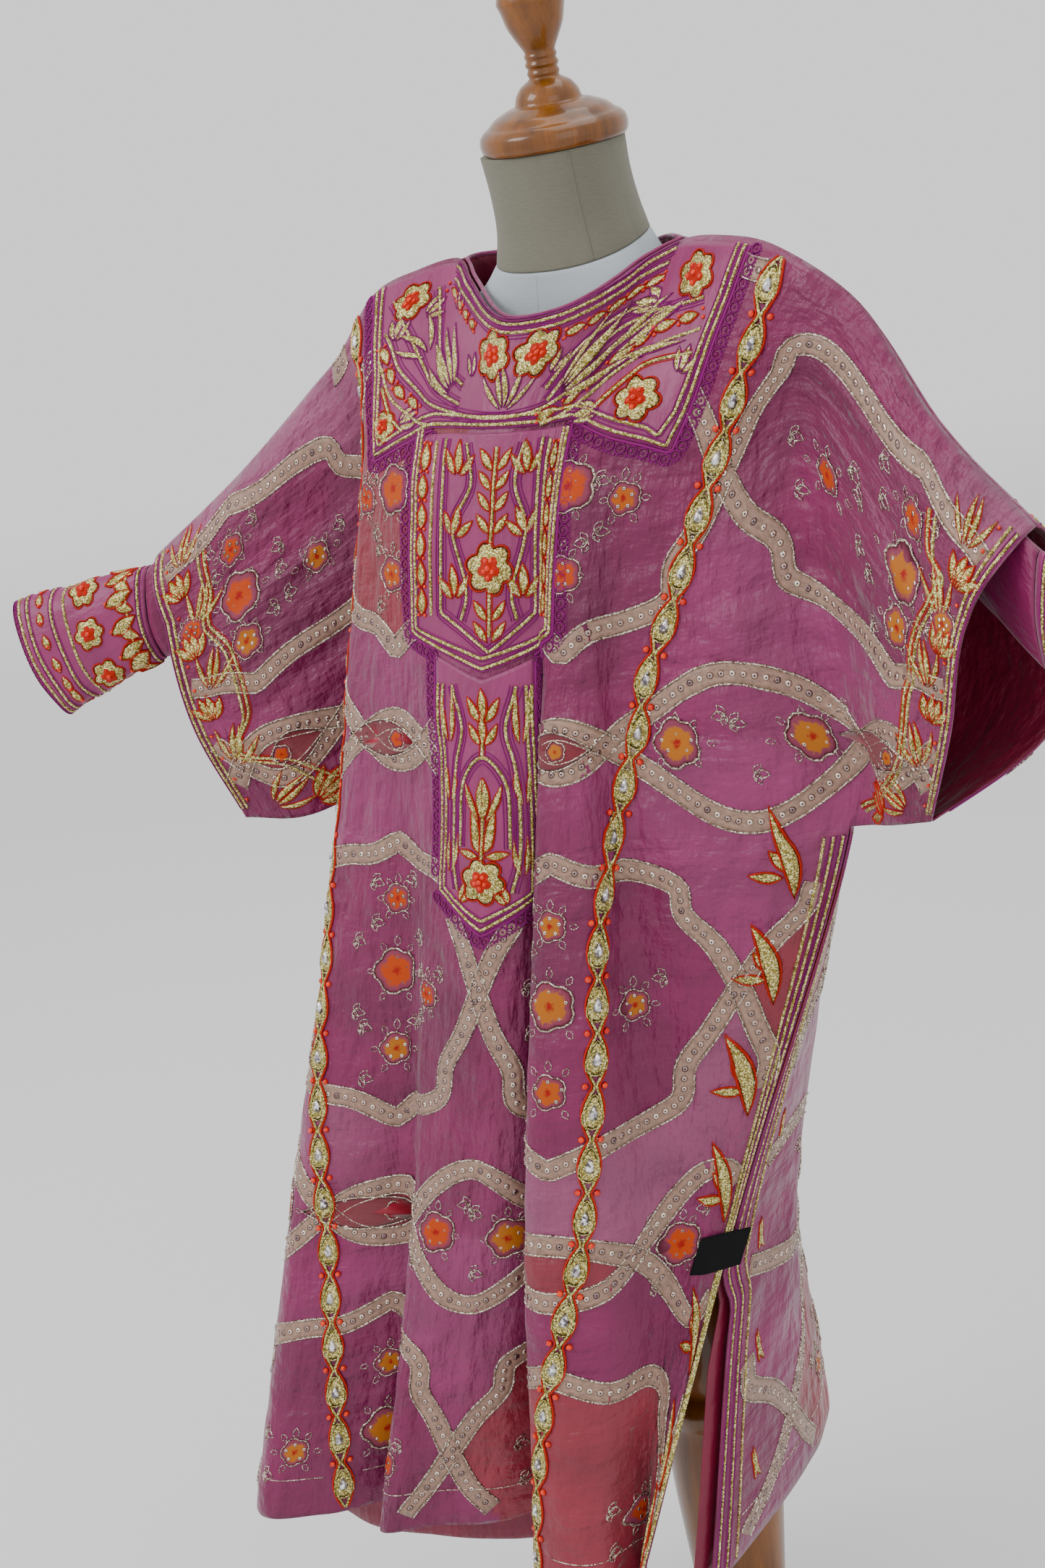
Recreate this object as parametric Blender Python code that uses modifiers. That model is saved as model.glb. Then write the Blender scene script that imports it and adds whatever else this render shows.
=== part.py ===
"""Thobe of printed silk with embroidered yoke, placket and bands, on a limbless dress form.

Metres, +Z up. The wearer's left is +X and the front faces -Y. The floor is z = 0 and the pole
stands on the origin.
"""

from collections import namedtuple
from math import cos, pi, radians, sin

import bmesh
import bpy
import numpy as np
from mathutils import Matrix

# Main sizes

SHOULDER_HEIGHT = 1.19
CLOTH = 0.0014
LINING = 0.0011
APPLIQUE = 0.0012
SEAM_GAP = 0.0005
HEM_DROP = 0.90

# Heights of the levels that the fold lines are given at, below the shoulder

LEVEL_DROPS = (0.0, 0.12, 0.27, 0.37, 0.65, HEM_DROP)

FoldLine = namedtuple("FoldLine", "name flat top chest ribs underarm hip hem")
SleeveLine = namedtuple("SleeveLine", "name flat top upper middle bottom")

# Front of the garment, from the wearer's right to the left: a row for each line that runs down the cloth.
# flat is the distance from the middle when the cloth lies flat; top is (x, y, z) and the rest are (x, y).

FRONT_RIGHT_SLEEVE = (
    SleeveLine("right mouth", -0.440, (-0.355, -0.084, -0.187), (-0.332, -0.120, -0.238),
               (-0.312, -0.130, -0.312), (-0.289, -0.114, -0.388)),
    SleeveLine("right sleeve middle", -0.355, (-0.285, -0.054, -0.131), (-0.276, -0.086, -0.208),
               (-0.258, -0.100, -0.300), (-0.240, -0.092, -0.389)),
)

FRONT_BODY = (
    FoldLine("right side seam", -0.285, (-0.220, -0.040, -0.077), (-0.204, -0.046, -0.165),
             (-0.194, -0.044), (-0.192, -0.050), (-0.240, -0.062), (-0.298, -0.090)),
    FoldLine("behind right crest", -0.240, (-0.190, -0.036, -0.052), (-0.160, -0.044, -0.135),
             (-0.166, -0.056), (-0.180, -0.072), (-0.250, -0.128), (-0.306, -0.172)),
    FoldLine("right crest", -0.205, (-0.162, -0.030, -0.018), (-0.146, -0.078), (-0.162, -0.112),
             (-0.176, -0.130), (-0.230, -0.190), (-0.264, -0.258)),
    FoldLine("right chain", -0.150, (-0.122, -0.018, 0.000), (-0.118, -0.096), (-0.124, -0.128),
             (-0.134, -0.146), (-0.178, -0.192), (-0.205, -0.244)),
    FoldLine("right valley", -0.105, (-0.092, -0.008, 0.004), (-0.088, -0.104), (-0.092, -0.135),
             (-0.098, -0.146), (-0.132, -0.168), (-0.162, -0.204)),
    FoldLine("middle right crest", -0.070, (-0.070, -0.028, -0.008), (-0.066, -0.109),
             (-0.070, -0.140), (-0.074, -0.152), (-0.118, -0.184), (-0.154, -0.240)),
    FoldLine("middle", 0.000, (0.000, -0.083, -0.030), (-0.010, -0.115), (-0.018, -0.147),
             (-0.024, -0.164), (-0.064, -0.186), (-0.112, -0.216)),
    FoldLine("middle left", 0.040, (0.034, -0.074, -0.027), (0.014, -0.112), (0.006, -0.141),
             (0.004, -0.156), (-0.034, -0.174), (-0.072, -0.192)),
    FoldLine("placket valley", 0.070, (0.050, -0.062, -0.021), (0.028, -0.106), (0.019, -0.131),
             (0.014, -0.142), (-0.014, -0.148), (-0.040, -0.152)),
    FoldLine("left fold edge", 0.105, (0.062, -0.045, -0.013), (0.040, -0.102), (0.026, -0.134),
             (0.018, -0.156), (-0.002, -0.206), (-0.008, -0.240)),
    FoldLine("left fold face", 0.145, (0.074, -0.020, -0.002), (0.062, -0.096), (0.053, -0.126),
             (0.052, -0.146), (0.054, -0.188), (0.048, -0.243)),
    FoldLine("left fold valley", 0.170, (0.092, -0.008, 0.005), (0.080, -0.087), (0.066, -0.112),
             (0.062, -0.122), (0.064, -0.156), (0.058, -0.206)),
    FoldLine("left chain", 0.205, (0.130, -0.020, 0.006), (0.115, -0.076), (0.105, -0.102),
             (0.104, -0.112), (0.082, -0.136), (0.064, -0.216)),
    FoldLine("left panel", 0.250, (0.176, -0.033, -0.003), (0.148, -0.060), (0.152, -0.092),
             (0.164, -0.094), (0.100, -0.122), (0.069, -0.228)),
    FoldLine("left side edge", 0.290, (0.224, -0.036, -0.034), (0.186, -0.044, -0.105),
             (0.196, -0.064), (0.206, -0.068), (0.110, -0.108), (0.074, -0.240)),
)

FRONT_LEFT_SLEEVE = (
    SleeveLine("left sleeve middle", 0.355, (0.286, -0.060, -0.107), (0.276, -0.094, -0.180),
               (0.262, -0.108, -0.270), (0.247, -0.090, -0.358)),
    SleeveLine("left mouth", 0.440, (0.355, -0.080, -0.168), (0.330, -0.126, -0.213),
               (0.316, -0.132, -0.280), (0.286, -0.108, -0.346)),
)

# Back of the garment, in the same order

BACK_RIGHT_SLEEVE = (
    SleeveLine("right mouth back", -0.440, (-0.355, -0.084, -0.187), (-0.360, -0.056, -0.245),
               (-0.358, -0.050, -0.330), (-0.305, -0.098, -0.390)),
    SleeveLine("right sleeve back", -0.355, (-0.285, -0.054, -0.131), (-0.292, -0.022, -0.205),
               (-0.282, -0.016, -0.300), (-0.244, -0.072, -0.388)),
)

BACK_BODY = (
    FoldLine("right side seam back", -0.285, (-0.220, -0.040, -0.077), (-0.222, -0.004, -0.150),
             (-0.218, 0.002), (-0.194, -0.040), (-0.242, -0.050), (-0.300, -0.078)),
    FoldLine("right back edge", -0.220, (-0.176, -0.033, -0.035), (-0.178, 0.022, -0.125),
             (-0.186, 0.036), (-0.184, 0.010), (-0.226, 0.000), (-0.278, 0.000)),
    FoldLine("right back", -0.145, (-0.122, -0.018, 0.000), (-0.130, 0.060), (-0.142, 0.070),
             (-0.144, 0.064), (-0.168, 0.066), (-0.206, 0.078)),
    FoldLine("right back crest", -0.070, (-0.070, 0.022, 0.004), (-0.072, 0.088), (-0.074, 0.096),
             (-0.076, 0.098), (-0.088, 0.112), (-0.114, 0.124)),
    FoldLine("middle back", 0.000, (0.000, 0.052, -0.004), (0.000, 0.096), (0.000, 0.102),
             (0.000, 0.104), (-0.010, 0.112), (-0.030, 0.106)),
    FoldLine("left back crest", 0.090, (0.056, 0.034, 0.004), (0.072, 0.086), (0.074, 0.092),
             (0.074, 0.094), (0.036, 0.076), (0.042, 0.080)),
    FoldLine("left back", 0.170, (0.095, -0.006, 0.0055), (0.136, 0.058), (0.140, 0.062),
             (0.132, 0.058), (0.078, 0.024), (0.084, 0.020)),
    FoldLine("left back edge", 0.250, (0.176, -0.033, -0.003), (0.180, 0.022, -0.110), (0.190, 0.022),
             (0.180, -0.010), (0.108, -0.030), (0.106, -0.092)),
    FoldLine("left side edge back", 0.290, (0.224, -0.036, -0.034), (0.214, -0.004, -0.130),
             (0.216, -0.016), (0.208, -0.058), (0.110, -0.096), (0.112, -0.200)),
)

BACK_LEFT_SLEEVE = (
    SleeveLine("left sleeve back", 0.355, (0.286, -0.060, -0.107), (0.290, -0.026, -0.185),
               (0.284, -0.022, -0.275), (0.250, -0.074, -0.360)),
    SleeveLine("left mouth back", 0.440, (0.355, -0.080, -0.168), (0.362, -0.052, -0.220),
               (0.346, -0.046, -0.296), (0.294, -0.092, -0.348)),
)

# Front of the inner slip, hung behind the folds: flat as on the front, places as (x, y, z)

SlipLine = namedtuple("SlipLine", "name flat waist hip hem")
SLIP_FRONT = (
    SlipLine("right seam", -0.285, (-0.1920, -0.0518, -0.400), (-0.230, -0.064, -0.650),
             (-0.284, -0.090, -0.890)),
    SlipLine("right side", -0.230, (-0.178, -0.094, -0.400), (-0.234, -0.128, -0.650),
             (-0.286, -0.172, -0.926)),
    SlipLine("right front", -0.170, (-0.148, -0.124, -0.400), (-0.196, -0.154, -0.650),
             (-0.228, -0.190, -0.944)),
    SlipLine("middle right", -0.080, (-0.092, -0.130, -0.400), (-0.126, -0.146, -0.650),
             (-0.154, -0.178, -0.947)),
    SlipLine("middle", 0.000, (-0.034, -0.132, -0.400), (-0.066, -0.148, -0.650),
             (-0.098, -0.160, -0.945)),
    SlipLine("middle left", 0.080, (0.018, -0.118, -0.400), (-0.016, -0.126, -0.650),
             (-0.040, -0.128, -0.944)),
    SlipLine("left front", 0.160, (0.066, -0.102, -0.400), (0.052, -0.130, -0.650),
             (0.020, -0.160, -0.926)),
    SlipLine("left edge", 0.240, (0.140, -0.080, -0.400), (0.086, -0.114, -0.650),
             (0.050, -0.184, -0.890)),
)
SLIP_BACK_HEM = -0.894
SLIP_BEHIND = 0.0075
SLIP_SEWN = 0.0019
SLIP_PAST_EDGE = 0.012
SLIP_FROM_SEAM = 0.008
SLIP_SHORT_OF_EDGE = 0.004
SLIP_OPENS_OVER = 0.25
SLIP_ROWS = 8

# Dress form: a row for each section, drops and half sizes; tilt lowers the front

FormSection = namedtuple("FormSection", "drop middle_y half_width front back tilt")
NECK_FORM = (
    FormSection(-0.0735, -0.012, 0.0475, 0.0450, 0.0450, 0.088),
    FormSection(-0.0500, -0.008, 0.0465, 0.0440, 0.0440, 0.14),
    FormSection(-0.0280, -0.004, 0.0480, 0.0450, 0.0440, 0.20),
    FormSection(-0.0080, -0.001, 0.0530, 0.0490, 0.0425, 0.26),
)
TORSO_FORM = (
    FormSection(-0.0074, -0.001, 0.0530, 0.0490, 0.0425, 0.26),
    FormSection(0.0090, 0.001, 0.0680, 0.0520, 0.0365, 0.20),
    FormSection(0.0300, 0.001, 0.0930, 0.0550, 0.0420, 0.14),
    FormSection(0.0580, 0.000, 0.1080, 0.0640, 0.0540, 0.06),
    FormSection(0.0980, 0.000, 0.1180, 0.0780, 0.0680, 0.0),
    FormSection(0.1500, 0.000, 0.1190, 0.0900, 0.0810, 0.0),
    FormSection(0.2200, 0.000, 0.1120, 0.0860, 0.0780, 0.0),
    FormSection(0.3000, 0.000, 0.1020, 0.0780, 0.0720, 0.0),
    FormSection(0.3800, 0.000, 0.1020, 0.0780, 0.0660, 0.0),
    FormSection(0.4500, 0.000, 0.1000, 0.0780, 0.0600, 0.0),
    FormSection(0.5000, 0.000, 0.0960, 0.0760, 0.0560, 0.0),
)
FORM_SIDES = 24

# Turned wood: heights above the lowest face and radii

CAP_LEAN = radians(5.0)
CAP_DROP = -0.0742
CAP_MIDDLE = (0.003, -0.012)
CAP_PROFILE = (
    (0.0, 0.0475), (0.0020, 0.0492), (0.0065, 0.0500), (0.0115, 0.0492), (0.0150, 0.0460),
    (0.0165, 0.0430), (0.0215, 0.0380), (0.0250, 0.0300), (0.0265, 0.0262), (0.0270, 0.0225),
    (0.0330, 0.0212), (0.0390, 0.0170), (0.0430, 0.0095), (0.0460, 0.0112), (0.0490, 0.0096),
    (0.0515, 0.0116), (0.0545, 0.0098), (0.0570, 0.0112), (0.0595, 0.0098), (0.0660, 0.0135),
    (0.0760, 0.0188), (0.0880, 0.0216), (0.0915, 0.0232), (0.0950, 0.0226), (0.1030, 0.0195),
    (0.1100, 0.0140), (0.1150, 0.0070), (0.1160, 0.0),
)
BASE_PROFILE = (
    (0.0, 0.165), (0.012, 0.165), (0.018, 0.162), (0.022, 0.148), (0.025, 0.118),
    (0.031, 0.110), (0.036, 0.066), (0.038, 0.052),
)
COLUMN_PROFILE = (
    (0.0385, 0.044), (0.058, 0.046), (0.078, 0.040), (0.105, 0.034), (0.160, 0.038),
    (0.220, 0.043), (0.262, 0.045), (0.290, 0.042), (0.300, 0.046), (0.310, 0.049),
    (0.320, 0.046), (0.326, 0.041), (0.350, 0.043), (0.430, 0.039), (0.540, 0.030),
    (0.620, 0.025), (0.664, 0.030), (0.6897, 0.030),
)

# Narrow inner sleeves: a row for each section, the middle, half sizes and how far the top leads the bottom

ArmSection = namedtuple("ArmSection", "x y drop half_height half_depth slant")
INNER_SLEEVE = (
    ArmSection(0.262, -0.044, 0.1638, 0.034, 0.011, 0.0),
    ArmSection(0.290, -0.056, 0.1838, 0.035, 0.013, 0.0),
    ArmSection(0.325, -0.074, 0.2088, 0.036, 0.014, 0.0),
    ArmSection(0.3625, -0.092, 0.2328, 0.037, 0.015, 0.0),
)
CUFF = (
    ArmSection(0.3633, -0.0924, 0.2332, 0.0371, 0.0151, 0.0),
    ArmSection(0.410, -0.113, 0.2468, 0.0415, 0.017, 0.008),
    ArmSection(0.458, -0.132, 0.2618, 0.0460, 0.018, 0.018),
)
LEFT_ARM_RAISE = 0.018

# Places on the front cloth as (flat, level): outlines of what is sewn on

YOKE_RIGHT_EDGE = ((-0.193, 0.03), (-0.186, 0.334), (-0.176, 0.642), (-0.167, 0.875), (-0.1605, 1.0))
YOKE_LEFT_EDGE = ((0.231, 0.03), (0.226, 0.267), (0.217, 0.552), (0.207, 0.826), (0.198, 1.0))
YOKE_BOTTOM = (
    (-0.1605, 1.0), (-0.113, 0.909), (-0.069, 0.822), (-0.033, 0.800), (0.0, 0.785), (0.051, 0.790),
    (0.106, 0.796), (0.128, 0.834), (0.159, 0.916), (0.181, 0.957), (0.198, 1.0),
)
UPPER_RIGHT = -0.090
UPPER_LEFT = 0.108
UPPER_TIP = (0.0, 1.881)
UPPER_SHOULDER = 1.723
LOWER_RIGHT = -0.055
LOWER_LEFT = 0.060
LOWER_TIP = (0.003, 3.268)
LOWER_SHOULDER = 3.170
PLACKET_GAP = 0.03
LEFT_CHAIN = (
    (0.2545, 0.03), (0.2524, 0.203), (0.2530, 0.394), (0.2474, 0.646), (0.2411, 0.886),
    (0.2310, 1.104), (0.2096, 1.521), (0.1895, 1.967), (0.1844, 2.365), (0.1731, 2.816),
    (0.1625, 3.040), (0.1543, 3.168), (0.1485, 3.280), (0.1430, 3.568), (0.1395, 3.696),
    (0.1337, 3.969), (0.1288, 4.111), (0.1238, 4.274), (0.1181, 4.429), (0.1140, 4.607),
    (0.1107, 4.762), (0.1080, 4.985),
)
RIGHT_CHAIN = (
    (-0.2150, 0.03), (-0.2130, 0.40), (-0.2080, 1.0), (-0.2060, 2.0), (-0.2000, 3.0),
    (-0.1797, 3.711), (-0.1616, 4.099), (-0.1526, 4.434), (-0.1443, 4.785), (-0.1395, 4.985),
)
CHAIN_UNIT = 0.037
CHAIN_NARROW = 0.0022
CHAIN_WIDE = 0.0080
LACE_WIDTH = 0.007
LACE_THICK = 0.0010
LACE_PARTED = 0.0012
LACE_STEP = 0.011
LACE_END = 0.012
LACE_DOWN = 0.012
LACE_RAISE = 0.0003
EDGE_STRIP = 0.009
EDGE_FLAT = 0.2885
MOUTH_STRIP = 0.012
MOUTH_INSET = 0.0010
MOUTH_ENDS = (0.06, 0.05)
EDGE_HALVES = (("upper", 3.06, 3.98, 11), ("lower", 4.22, 4.985, 9))
TRIAL_STEP = 0.02
BINDING_INSIDE = 0.0034
BINDING_RAISE = 0.0004
BINDING_RADIUS = 0.0015
BINDING_SIDES = 6
LABEL_DROPS = (0.656, 0.691)
LABEL_REACHES = (0.024, 0.016, 0.008, 0.0)
LABEL_PAST = 0.012
LABEL_LIFTS = (0.0019, 0.0021, 0.0026, 0.0034)
LABEL_THICK = 0.0010


def smooth_line(knots, values, at):
    """Smooth curve through values at uneven knots, read at the places in at.

    The slope at a knot is the weighted mean of the spans beside it.
    """
    knots = np.asarray(knots, float)
    values = np.asarray(values, float)
    at = np.clip(np.asarray(at, float), knots[0], knots[-1])
    span = np.diff(knots)
    rise = np.diff(values, axis=0) / span.reshape((-1,) + (1,) * (values.ndim - 1))
    slope = np.empty_like(values)
    slope[0] = rise[0]
    slope[-1] = rise[-1]
    weight = (span[1:] / (span[1:] + span[:-1])).reshape((-1,) + (1,) * (values.ndim - 1))
    slope[1:-1] = rise[:-1] * weight + rise[1:] * (1 - weight)
    k = np.clip(np.searchsorted(knots, at, side="right") - 1, 0, len(span) - 1)
    shape = (-1,) + (1,) * (values.ndim - 1)
    h = span[k].reshape(shape)
    u = ((at - knots[k]) / span[k]).reshape(shape)
    return (
        (2 * u**3 - 3 * u**2 + 1) * values[k]
        + (u**3 - 2 * u**2 + u) * h * slope[k]
        + (3 * u**2 - 2 * u**3) * values[k + 1]
        + (u**3 - u**2) * h * slope[k + 1]
    )


UNDERARM_LEVEL = 3
HEM_LEVEL = 5


def line_places(line):
    """Places of a line at the levels, as (x, y, z) rows."""
    if isinstance(line, SleeveLine):
        return np.array([line.top, line.upper, line.middle, line.bottom])
    places = []
    for drop, place in zip(LEVEL_DROPS, line[2:]):
        places.append(tuple(place) if len(place) == 3 else (place[0], place[1], -drop))
    return np.array(places)


class Sheet:
    """One side of the garment: across it s is the flat distance from the middle, down it t is the level."""

    def __init__(self, right_sleeve, body, left_sleeve):
        self.lines = right_sleeve + body + left_sleeve
        self.flats = np.array([line.flat for line in self.lines])
        self.body = slice(len(right_sleeve), len(right_sleeve) + len(body))
        self.places = [line_places(line) for line in self.lines]
        self.side_right = body[0].flat
        self.side_left = body[-1].flat

    def row(self, t, at):
        """Places across the sheet at one level t for the flat distances in at."""
        t = float(t)
        if t <= UNDERARM_LEVEL:
            chosen = range(len(self.lines))
        else:
            chosen = range(self.body.start, self.body.stop)
        points = []
        for k in chosen:
            levels = np.arange(len(self.places[k]))
            points.append(smooth_line(levels, self.places[k], [t])[0])
        return smooth_line([self.flats[k] for k in chosen], points, at)


FRONT = Sheet(FRONT_RIGHT_SLEEVE, FRONT_BODY, FRONT_LEFT_SLEEVE)
BACK = Sheet(BACK_RIGHT_SLEEVE, BACK_BODY, BACK_LEFT_SLEEVE)
NECK_RIGHT = -0.105
NECK_LEFT = 0.170
SEAM_SIDE = 0.0022
SEAM_REACH = 0.08
SLIT_LEVEL = 4.16
COLUMN_STEPS = (2, 3, 2, 2, 2, 2, 2, 4, 2, 2, 3, 3, 2, 3, 2, 2, 3, 2)
FRONT_ROW_STEPS = (5, 4, 3, 7, 6)
BACK_ROW_STEPS = (5, 2, 3, 3, 3)


def outside_of_neck(flats):
    """1 on the shoulders and sleeves, 0 along the neck opening."""
    flats = np.asarray(flats, float)
    return ((flats <= NECK_RIGHT + 1e-6) | (flats >= NECK_LEFT - 1e-6)).astype(float)


def rounding(flats, t):
    """How far the cloth leaves the shoulder line at once: its folded top is round, most on the sleeves."""
    amount = np.interp(np.abs(flats), (0.10, 0.16, 0.26, 0.44), (0.0, 0.008, 0.026, 0.034))
    return amount * np.sqrt(max(t, 0.0)) * max(0.0, 1 - t) ** 1.2 * outside_of_neck(flats)


def front_grid(flats, levels):
    """Front cloth as a grid of places."""
    grid = np.array([FRONT.row(t, flats) for t in levels])
    for j, t in enumerate(levels):
        grid[j, :, 1] -= rounding(flats, t)
    return grid


def back_grid(flats, levels):
    """Back cloth as a grid of places, pulled to the front at shoulders, side seams and sleeve bottoms."""
    flats = np.asarray(flats, float)
    grid = np.array([BACK.row(t, flats) for t in levels])
    top = (FRONT.row(0, flats) + (0, SEAM_GAP, 0) - BACK.row(0, flats)) * outside_of_neck(flats)[:, None]
    bottom = FRONT.row(UNDERARM_LEVEL, flats) + (0, SEAM_SIDE, 0) - BACK.row(UNDERARM_LEVEL, flats)
    past_right = np.clip((flats - BACK.side_right) / SEAM_REACH, 0, 1)
    past_left = np.clip((BACK.side_left - flats) / SEAM_REACH, 0, 1)
    near_right = (1 - past_right) ** 2
    near_left = (1 - past_left) ** 2
    for j, t in enumerate(levels):
        grid[j] += top * max(0.0, 1 - t / 0.8) ** 2
        grid[j, :, 1] += rounding(flats, t) * 0.8
        if t <= UNDERARM_LEVEL:
            pull = max(0.0, (t - UNDERARM_LEVEL + 0.8) / 0.8) ** 2
            grid[j] += bottom * (np.maximum(near_right, near_left) * pull)[:, None]
            continue
        closed = np.clip((SLIT_LEVEL - t) / 0.10 + 1, 0, 1)
        for side, near, sign in ((BACK.side_right, near_right, -1), (BACK.side_left, near_left, 1)):
            meet = FRONT.row(t, [side])[0] + (sign * 0.0006, SEAM_SIDE, 0) - BACK.row(t, [side])[0]
            grid[j] += meet * (near * closed)[:, None]
    return grid


def normals_of(grid, outward_y):
    """Unit normals of a grid, turned so that they point to the side that outward_y says."""
    across = np.gradient(grid, axis=1)
    down = np.gradient(grid, axis=0)
    normal = np.cross(across, down)
    normal /= np.maximum(np.linalg.norm(normal, axis=2, keepdims=True), 1e-12)
    if normal[..., 1].mean() * outward_y < 0:
        normal = -normal
    return normal


def both_walls(a, b, c, d, count):
    """Triangles of one cell on the outer wall, and of the same cell on the inner wall, count further on."""
    outer = [(a, b, c), (a, c, d)]
    return outer + [tuple(corner + count for corner in reversed(face)) for face in outer]


def solid_sheet(name, grid, normal, thickness, keep, colour, roughness, metallic=0.0):
    """Closed wall about a grid of places. keep is a mask of the grid's cells."""
    rows, columns = grid.shape[:2]
    half = np.broadcast_to(np.asarray(thickness, float) / 2, (rows, columns))[..., None]
    outer = grid + normal * half
    inner = grid - normal * half
    used = np.zeros((rows, columns), bool)
    used[:-1, :-1] |= keep
    used[1:, :-1] |= keep
    used[:-1, 1:] |= keep
    used[1:, 1:] |= keep
    number = -np.ones((rows, columns), int)
    number[used] = np.arange(used.sum())
    count = int(used.sum())
    verts = np.concatenate([outer[used], inner[used]])
    faces = []
    edges = {}
    for j, i in zip(*np.nonzero(keep)):
        a, b, c, d = number[j, i], number[j, i + 1], number[j + 1, i + 1], number[j + 1, i]
        faces += both_walls(a, b, c, d, count)
        for p, q in ((a, b), (b, c), (c, d), (d, a)):
            if (q, p) in edges:
                del edges[(q, p)]
            else:
                edges[(p, q)] = True
    for p, q in edges:
        faces.append((q, p, p + count, q + count))
    return add_solid(name, verts, faces, colour, roughness, metallic)


def material_for(name, colour, roughness, metallic):
    """Plain Principled material."""
    material = bpy.data.materials.new(name)
    material.use_nodes = True
    shader = material.node_tree.nodes["Principled BSDF"]
    shader.inputs["Base Color"].default_value = (*colour, 1.0)
    shader.inputs["Roughness"].default_value = roughness
    shader.inputs["Metallic"].default_value = metallic
    material.diffuse_color = (*colour, 1.0)
    return material


def add_solid(name, verts, faces, colour, roughness, metallic=0.0, smooth=True):
    """Object from places given from the shoulder's height, with its faces turned outwards."""
    mesh = bpy.data.meshes.new(name)
    verts = np.asarray(verts, float) + (0, 0, SHOULDER_HEIGHT)
    mesh.from_pydata([tuple(v) for v in verts], [], [tuple(int(n) for n in f) for f in faces])
    work = bmesh.new()
    work.from_mesh(mesh)
    bmesh.ops.recalc_face_normals(work, faces=work.faces)
    work.to_mesh(mesh)
    work.free()
    mesh.materials.append(material_for(name, colour, roughness, metallic))
    for polygon in mesh.polygons:
        polygon.use_smooth = smooth
    thing = bpy.data.objects.new(name, mesh)
    COLLECTION.objects.link(thing)
    return thing


def cells(flats, levels, sheet):
    """Mask of the cells that cloth fills: all above the underarm, then those between the side seams."""
    keep = np.ones((len(levels) - 1, len(flats) - 1), bool)
    for j in range(len(levels) - 1):
        if levels[j] >= UNDERARM_LEVEL - 1e-9:
            for i in range(len(flats) - 1):
                middle = (flats[i] + flats[i + 1]) / 2
                keep[j, i] = sheet.side_right < middle < sheet.side_left
    return keep


def spread(knots, counts):
    """Even steps between neighbouring knots: counts says how many steps each span has."""
    out = [knots[0]]
    for a, b, n in zip(knots[:-1], knots[1:], counts):
        out += list(np.linspace(a, b, n + 1)[1:])
    return np.array(out)


PRINT = (0.62, 0.13, 0.34)
GROUND = (0.56, 0.20, 0.50)
GOLD = (0.62, 0.47, 0.18)
MAGENTA = (0.50, 0.04, 0.22)
PURPLE = (0.42, 0.08, 0.46)
BLACK = (0.02, 0.02, 0.02)
LINEN = (0.46, 0.46, 0.40)
JERSEY = (0.62, 0.67, 0.70)
WOOD = (0.52, 0.24, 0.05)


class Panel:
    """The grid that a cloth wall is made from, and from which what lies on the wall is read."""

    def __init__(self, flats, levels, grid, normal):
        self.flats = flats
        self.levels = levels
        self.grid = grid
        self.normal = normal

    def at(self, flat, level):
        """Place on the wall's facets, and its normal, at each pair of flat and level."""
        flat = np.clip(np.asarray(flat, float), self.flats[0], self.flats[-1])
        level = np.clip(np.asarray(level, float), self.levels[0], self.levels[-1])
        i = np.clip(np.searchsorted(self.flats, flat, side="right") - 1, 0, len(self.flats) - 2)
        j = np.clip(np.searchsorted(self.levels, level, side="right") - 1, 0, len(self.levels) - 2)
        u = ((flat - self.flats[i]) / (self.flats[i + 1] - self.flats[i]))[..., None]
        v = ((level - self.levels[j]) / (self.levels[j + 1] - self.levels[j]))[..., None]
        out = []
        for field in (self.grid, self.normal):
            a, b, c, d = field[j, i], field[j, i + 1], field[j + 1, i + 1], field[j + 1, i]
            out.append(np.where(u >= v, a + u * (b - a) + v * (c - b), a + v * (d - a) + u * (c - d)))
        return out[0], out[1]

    def moved(self, flat, level, step):
        """Flat and level of the places reached by the small steps given in metres along the cloth."""
        here = self.at(flat, level)[0]
        tiny_flat, tiny_level = 0.004, 0.03
        ahead = np.where(np.asarray(flat) + tiny_flat < self.flats[-1], 1.0, -1.0)
        below = np.where(np.asarray(level) + tiny_level < self.levels[-1], 1.0, -1.0)
        a = (self.at(flat + tiny_flat * ahead, level)[0] - here) / (tiny_flat * ahead)[..., None]
        b = (self.at(flat, level + tiny_level * below)[0] - here) / (tiny_level * below)[..., None]
        aa, ab, bb = (a * a).sum(-1), (a * b).sum(-1), (b * b).sum(-1)
        sa, sb = (a * step).sum(-1), (b * step).sum(-1)
        det = aa * bb - ab * ab
        return flat + (sa * bb - sb * ab) / det, level + (sb * aa - sa * ab) / det


def front_panel():
    """Panel of the front wall; on the shoulder line its thickness stands upright."""
    flats = spread(FRONT.flats, COLUMN_STEPS)
    levels = spread(np.arange(6), FRONT_ROW_STEPS)
    grid = front_grid(flats, levels)
    normal = normals_of(grid, -1)
    normal[0] = shoulder_normals(flats, normal[0])
    return Panel(flats, levels, grid, normal)


def back_panel():
    """Panel of the back wall, on the same columns as the front so that the two meet evenly."""
    flats = spread(FRONT.flats, COLUMN_STEPS)
    levels = spread(np.arange(6), BACK_ROW_STEPS)
    grid = back_grid(flats, levels)
    normal = normals_of(grid, 1)
    normal[0] = shoulder_normals(flats, normal[0])
    return Panel(flats, levels, grid, normal)


def shoulder_normals(flats, plain):
    """On the shoulder line the wall's thickness stands upright; at the neck it keeps its direction."""
    line = FRONT.row(0, flats)
    along = np.gradient(line, axis=0)
    upright = np.cross(along, (0, 1, 0))
    upright /= np.linalg.norm(upright, axis=1, keepdims=True)
    upright *= np.sign(upright[:, 2:3] + 1e-9)
    outside = outside_of_neck(flats)[:, None] > 0.5
    return np.where(outside, upright, plain)


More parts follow.
